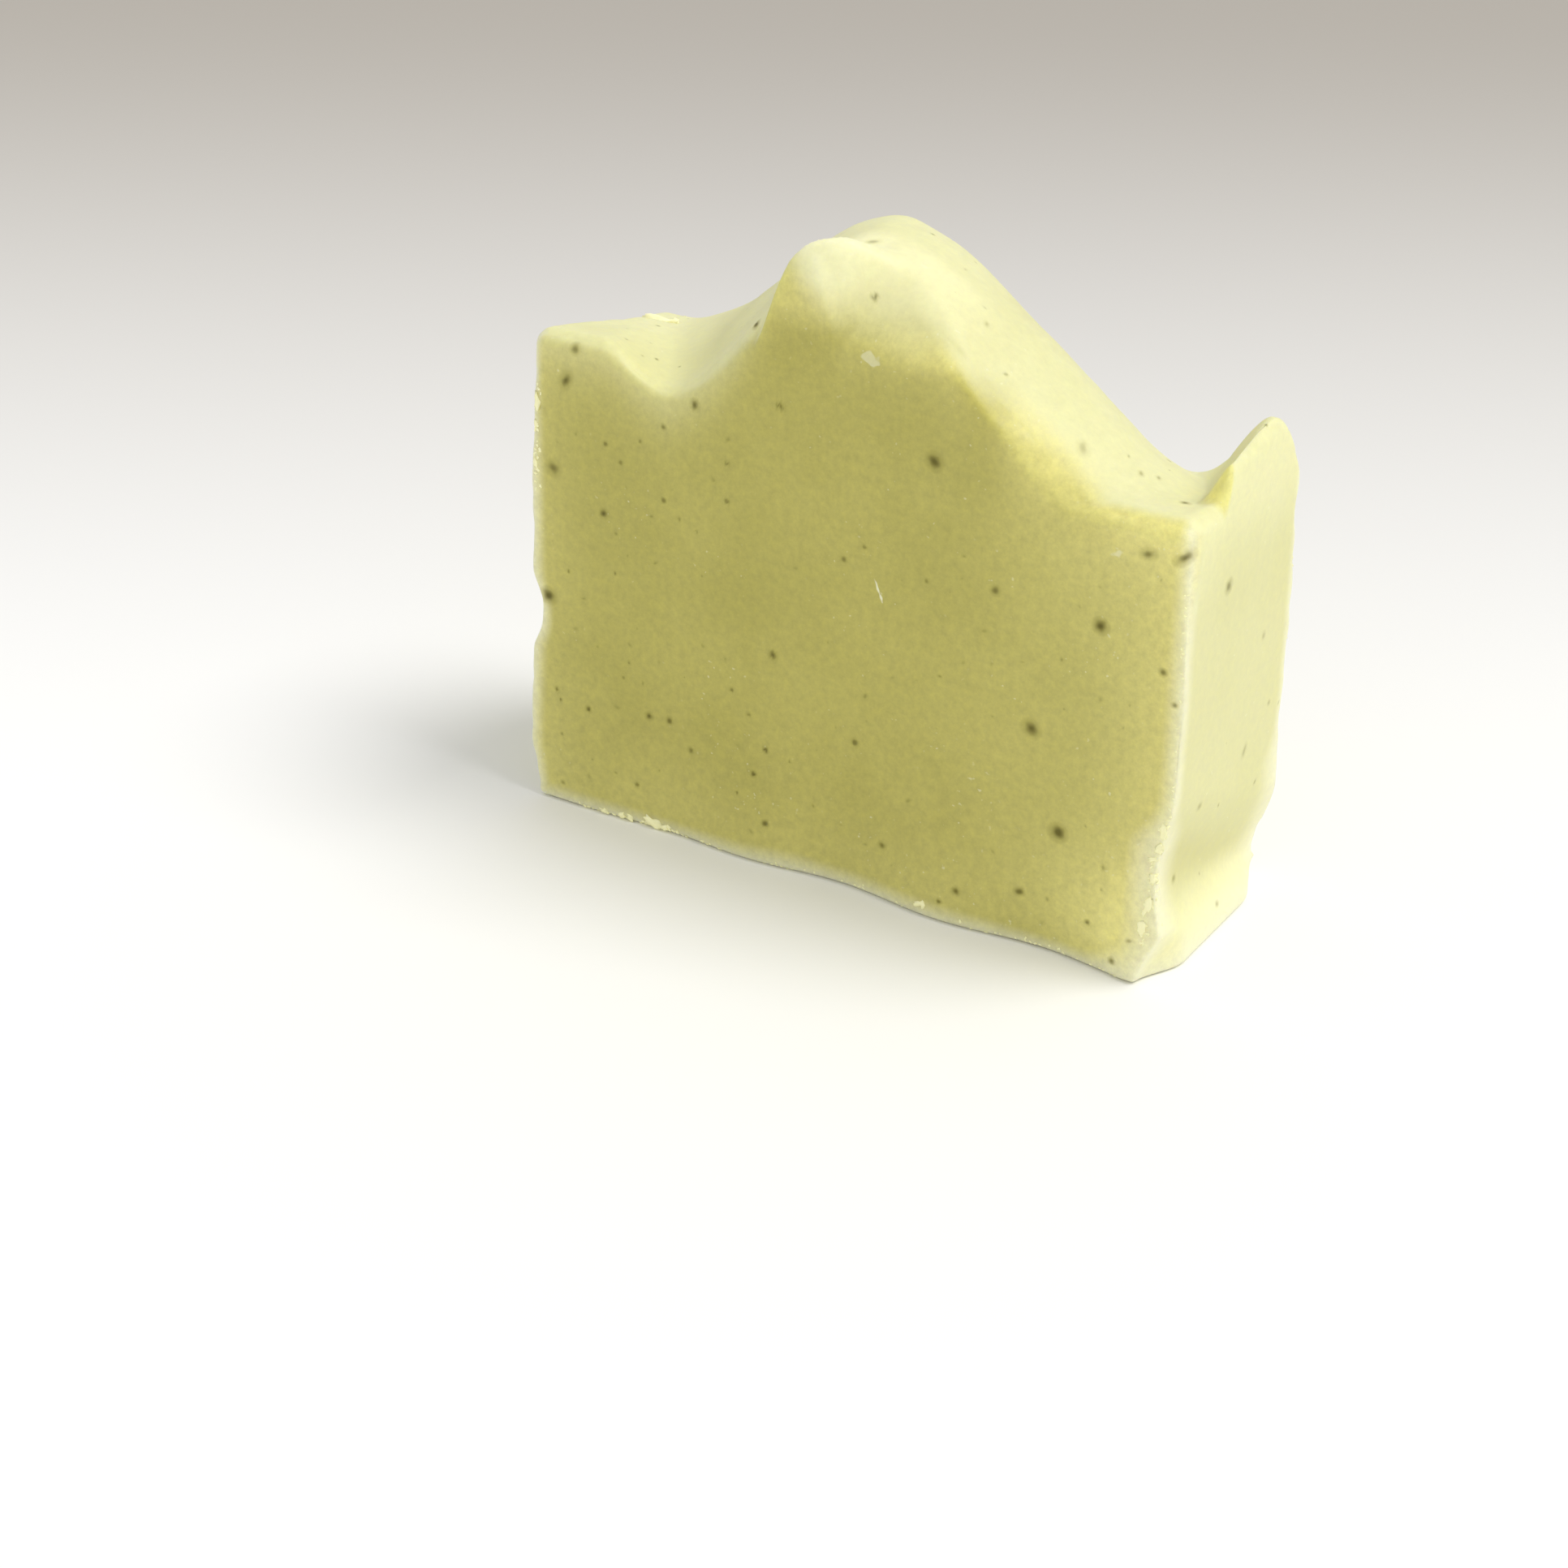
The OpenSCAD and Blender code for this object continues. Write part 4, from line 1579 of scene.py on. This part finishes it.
@dataclass(frozen=True)
class SoapFinish:
    """Colours and gloss of cured soap, with lit and shaded copies for painted light and shade; colours are
    linear.
    """

    cut: Colour = (0.55, 0.502, 0.124, 1.0)
    cut_deep: Colour = (0.49, 0.447, 0.1, 1.0)
    # The lit cut colour is painted light: the tone that seems to shine through the cuts.
    cut_lit: Colour = (0.88, 0.82, 0.30, 1.0)
    poured: Colour = (0.835, 0.82, 0.46, 1.0)
    poured_deep: Colour = (0.80, 0.785, 0.41, 1.0)
    # The shade colour below is painted shade.
    poured_shade: Colour = (0.68, 0.65, 0.29, 1.0)
    # The colour below is painted light: the paler tone of lit, translucent places.
    poured_thin: Colour = (0.98, 0.95, 0.57, 1.0)
    # The rim colour is partly rubbed wear on the edges and partly painted light on them.
    rim: Colour = (0.93, 0.91, 0.64, 1.0)
    herb: Colour = (0.13, 0.11, 0.0, 1.0)
    stain: Colour = (0.34, 0.30, 0.05, 1.0)
    pale: Colour = (0.93, 0.92, 0.66, 1.0)
    roughness: Span = (0.42, 0.58)
    roughness_span: Span = (0.3, 0.7)
    rim_reach: float = 2.4
    rim_share: float = 0.8
    speck_share: float = 0.4
    halo_share: float = 0.6
    mottle: Span = (0.2, 0.54)
    glow: float = 0.35
    glow_depth: float = 0.0045
    glow_radius: Triple = (1.0, 0.85, 0.3)
    specular: float = 0.4
    grain: float = 0.00002

    def material(self) -> Material:
        """Builds the finish: cut and poured colours, painted light and shade, clouds, pale rims that are
        partly painted light, flecks and grain.

        Returns:
            The new material.
        """
        material, nodes = new_material("cured_soap")
        place = nodes.place()
        reads = [nodes.add("ShaderNodeAttribute", attribute_name=name) for name in ATTRIBUTES]
        way = reads[0].outputs["Vector"]
        tone, is_cut, to_rim, glow, shade, thin = (read.outputs["Fac"] for read in reads[1:])
        cloud = nodes.add("ShaderNodeGroup", node_tree=SoapCloud().group())
        clouds = nodes.made(cloud, "Cloud", {"Place": place})
        mark = nodes.add("ShaderNodeGroup", node_tree=HerbMark().group())
        core = nodes.made(mark, "Core", {"Way": way, "Tone": tone, "Place": place})
        cut = nodes.blend(clouds, self.cut, self.cut_deep)
        # Painted light: the cuts turn paler where light seems to shine through them.
        cut = nodes.blend(glow, cut, self.cut_lit)
        poured = nodes.blend(clouds, self.poured, self.poured_deep)
        # Painted shade on the right wall, its crease, the trough and the flanks.
        poured = nodes.blend(shade, poured, self.poured_shade)
        # Painted light on the knob, the lip and the foot corner.
        poured = nodes.blend(thin, poured, self.poured_thin)
        colour = nodes.blend(is_cut, poured, cut)
        # Pale rims: partly rubbed wear, partly painted light on the edges.
        rim = nodes.between(to_rim, (0.0, self.rim_reach), self.rim_share, 0.0)
        colour = nodes.blend(rim, colour, self.rim)
        depth = nodes.between(is_cut, (0.0, 1.0), *self.mottle)
        swing = nodes.maths("MULTIPLY", nodes.maths("SUBTRACT", cloud.outputs["Mottle"], 0.5), depth)
        mottle = nodes.maths("ADD", swing, 1.0)
        tint = nodes.made(nodes.add("ShaderNodeCombineColor"), 0, {0: mottle, 1: mottle, 2: mottle})
        colour = nodes.blend(1.0, colour, tint, "MULTIPLY")
        speck = nodes.maths("MULTIPLY", cloud.outputs["Speck"], self.speck_share)
        colour = nodes.blend(speck, colour, self.pale)
        halo = nodes.maths("MULTIPLY", mark.outputs["Halo"], self.halo_share)
        colour = nodes.blend(halo, colour, self.stain)
        colour = nodes.blend(core, colour, self.herb)
        colour = nodes.blend(mark.outputs["Pale"], colour, self.pale)
        bump = nodes.add("ShaderNodeBump")
        grain = {"Distance": self.grain, "Height": cloud.outputs["Grain"]}
        inputs = {
            "Base Color": colour,
            "Roughness": nodes.between(cloud.outputs["Mottle"], self.roughness_span, *self.roughness),
            "Subsurface Weight": self.glow,
            "Subsurface Radius": self.glow_radius,
            "Subsurface Scale": self.glow_depth,
            "Specular IOR Level": self.specular,
            "Normal": nodes.made(bump, "Normal", grain),
        }
        nodes.shader(inputs, subsurface_method="RANDOM_WALK")
        return material


@dataclass(frozen=True)
class CrumbFinish:
    """Colours of the dry crumbs, and a painted glow of emission for the light that shines through them."""

    pale: Colour = (0.95, 0.93, 0.60, 1.0)
    deep: Colour = (0.91, 0.88, 0.50, 1.0)
    mottle: Span = (1500.0, 3.0)
    roughness: Span = (0.6, 0.8)
    roughness_span: Span = (0.2, 0.8)
    through: Colour = (1.0, 0.95, 0.45, 1.0)
    glow: float = 0.14

    def material(self) -> Material:
        """Builds the finish: two pale tones in a fine mottle, and a faint painted glow of emission.

        Returns:
            The new material.
        """
        material, nodes = new_material("dry_crumb")
        mottle = nodes.noise(nodes.place(), *self.mottle)
        inputs = {
            "Base Color": nodes.blend(mottle, self.pale, self.deep),
            # Painted glow: the crumbs give off a little light of their own, though they are no lamp.
            "Emission Color": self.through,
            "Emission Strength": self.glow,
            "Roughness": nodes.between(mottle, self.roughness_span, *self.roughness),
        }
        nodes.shader(inputs)
        return material


@dataclass(frozen=True)
class Studio:
    """A pale table under soft light, and the camera."""

    table_half: float = 3.0
    table_white: Colour = (0.96, 0.96, 0.955, 1.0)
    table_grey: Colour = (0.44, 0.41, 0.37, 1.0)
    table_roughness: float = 0.9
    table_specular: float = 0.1
    grey_span: Span = (0.0, 0.38)
    grey_power: float = 0.7
    table_far: Colour = (0.575, 0.575, 0.575, 1.0)
    far_span: Span = (0.8, 2.9)
    sky: float = 0.62
    sky_colour: Colour = (1.0, 1.0, 1.0, 1.0)
    key_power: float = 1.7
    key_angle: float = 32.0
    key_way: Triple = (0.50, 0.18, 0.92)
    key_colour: Triple = (1.0, 0.99, 0.96)
    camera_place: Triple = (0.1567, -0.2781, 0.1787)
    camera_yaw: float = 31.6
    camera_pitch: float = 28.4
    camera_roll: float = -0.8
    focal_pixels: float = 4000.0
    image_pixels: float = 1932.0
    sensor: float = 36.0
    clip: Span = (0.01, 20.0)

    def table(self) -> Piece:
        """Makes the table: a flat square whose white turns warm grey far behind the bar.

        All round, it fades into the sky's tone before its rim.

        Returns:
            The table.
        """
        half = self.table_half / MM
        corners = np.array([(-half, -half, 0.0), (half, -half, 0.0), (half, half, 0.0), (-half, half, 0.0)])
        material, nodes = new_material("table")
        place = nodes.place()
        yaw = np.radians(self.camera_yaw)
        view = (-float(np.sin(yaw)), float(np.cos(yaw)), 0.0)
        behind = nodes.between(nodes.vector("DOT_PRODUCT", "Value", place, view), self.grey_span)
        grey = nodes.maths("POWER", behind, self.grey_power)
        near = nodes.blend(grey, self.table_white, self.table_grey)
        far = nodes.between(nodes.vector("LENGTH", "Value", place), self.far_span)
        inputs = {
            "Base Color": nodes.blend(far, near, self.table_far),
            "Roughness": self.table_roughness,
            "Specular IOR Level": self.table_specular,
        }
        nodes.shader(inputs)
        return mesh_object("table", corners, [[0, 1, 2, 3]], material)

    def light(self) -> None:
        """Lights the table: an even pale sky and one broad key from the right."""
        world = bpy.data.worlds.new("sky")
        world.use_nodes = True
        bpy.context.scene.world = world
        back = world.node_tree.nodes["Background"]
        back.inputs["Color"].default_value = self.sky_colour
        back.inputs["Strength"].default_value = self.sky
        lamp = bpy.data.lights.new("key", "SUN")
        lamp.energy = self.key_power
        lamp.angle = float(np.radians(self.key_angle))
        lamp.color = self.key_colour
        key = bpy.data.objects.new("key", lamp)
        key.rotation_mode = "QUATERNION"
        key.rotation_quaternion = Vector(self.key_way).to_track_quat("Z", "Y")
        bpy.context.scene.collection.objects.link(key)

    def camera(self) -> None:
        """Places the camera: turned by its yaw, tipped down by its pitch, then rolled."""
        angles = (self.camera_yaw, self.camera_pitch, self.camera_roll)
        yaw, pitch, roll = (float(np.radians(angle)) for angle in angles)
        lens = bpy.data.cameras.new("camera")
        lens.sensor_fit = "HORIZONTAL"
        lens.sensor_width = self.sensor
        lens.lens = self.focal_pixels / self.image_pixels * self.sensor
        lens.clip_start, lens.clip_end = self.clip
        eye = bpy.data.objects.new("camera", lens)
        forward = Vector((-np.sin(yaw) * np.cos(pitch), np.cos(yaw) * np.cos(pitch), -np.sin(pitch)))
        level = Vector((np.cos(yaw), np.sin(yaw), 0.0))
        down = forward.cross(level)
        right = level * np.cos(roll) + down * np.sin(roll)
        up = level * np.sin(roll) - down * np.cos(roll)
        turn = Matrix((right, up, -forward)).transposed()
        eye.matrix_world = Matrix.Translation(self.camera_place) @ turn.to_4x4()
        bpy.context.scene.collection.objects.link(eye)
        bpy.context.scene.camera = eye

    def build(self) -> Piece:
        """Sets the view, the light, the camera and the table.

        Returns:
            The table.
        """
        bpy.context.scene.view_settings.view_transform = "Standard"
        self.light()
        self.camera()
        return self.table()


@dataclass
class SoapBar:
    """The whole bar: its skin and the crumbs on its edges."""

    skin: SoapSkin = field(default_factory=SoapSkin)
    crumbs: Crumbs = field(default_factory=Crumbs)
    soap: SoapFinish = field(default_factory=SoapFinish)
    crumb: CrumbFinish = field(default_factory=CrumbFinish)

    def build(self) -> list[Piece]:
        """Makes both pieces and ties them to the bar's body.

        Returns:
            The pieces.
        """
        skin, points, normals = self.skin.build(self.soap.material())
        crumbs = self.crumbs.build(self.crumb.material(), points, normals, self.skin.corner())
        for piece in (skin, crumbs):
            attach(piece, BODY)
            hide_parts(NODE)
        return [skin, crumbs]


def main() -> None:
    """Builds the bar, then the studio."""
    logging.basicConfig(level=logging.INFO, format="%(message)s")
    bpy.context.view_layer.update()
    for piece in SoapBar().build():
        log.info("%s: %d faces", piece.name, len(piece.data.polygons))
    Studio().build()


if __name__ == "__main__":
    main()
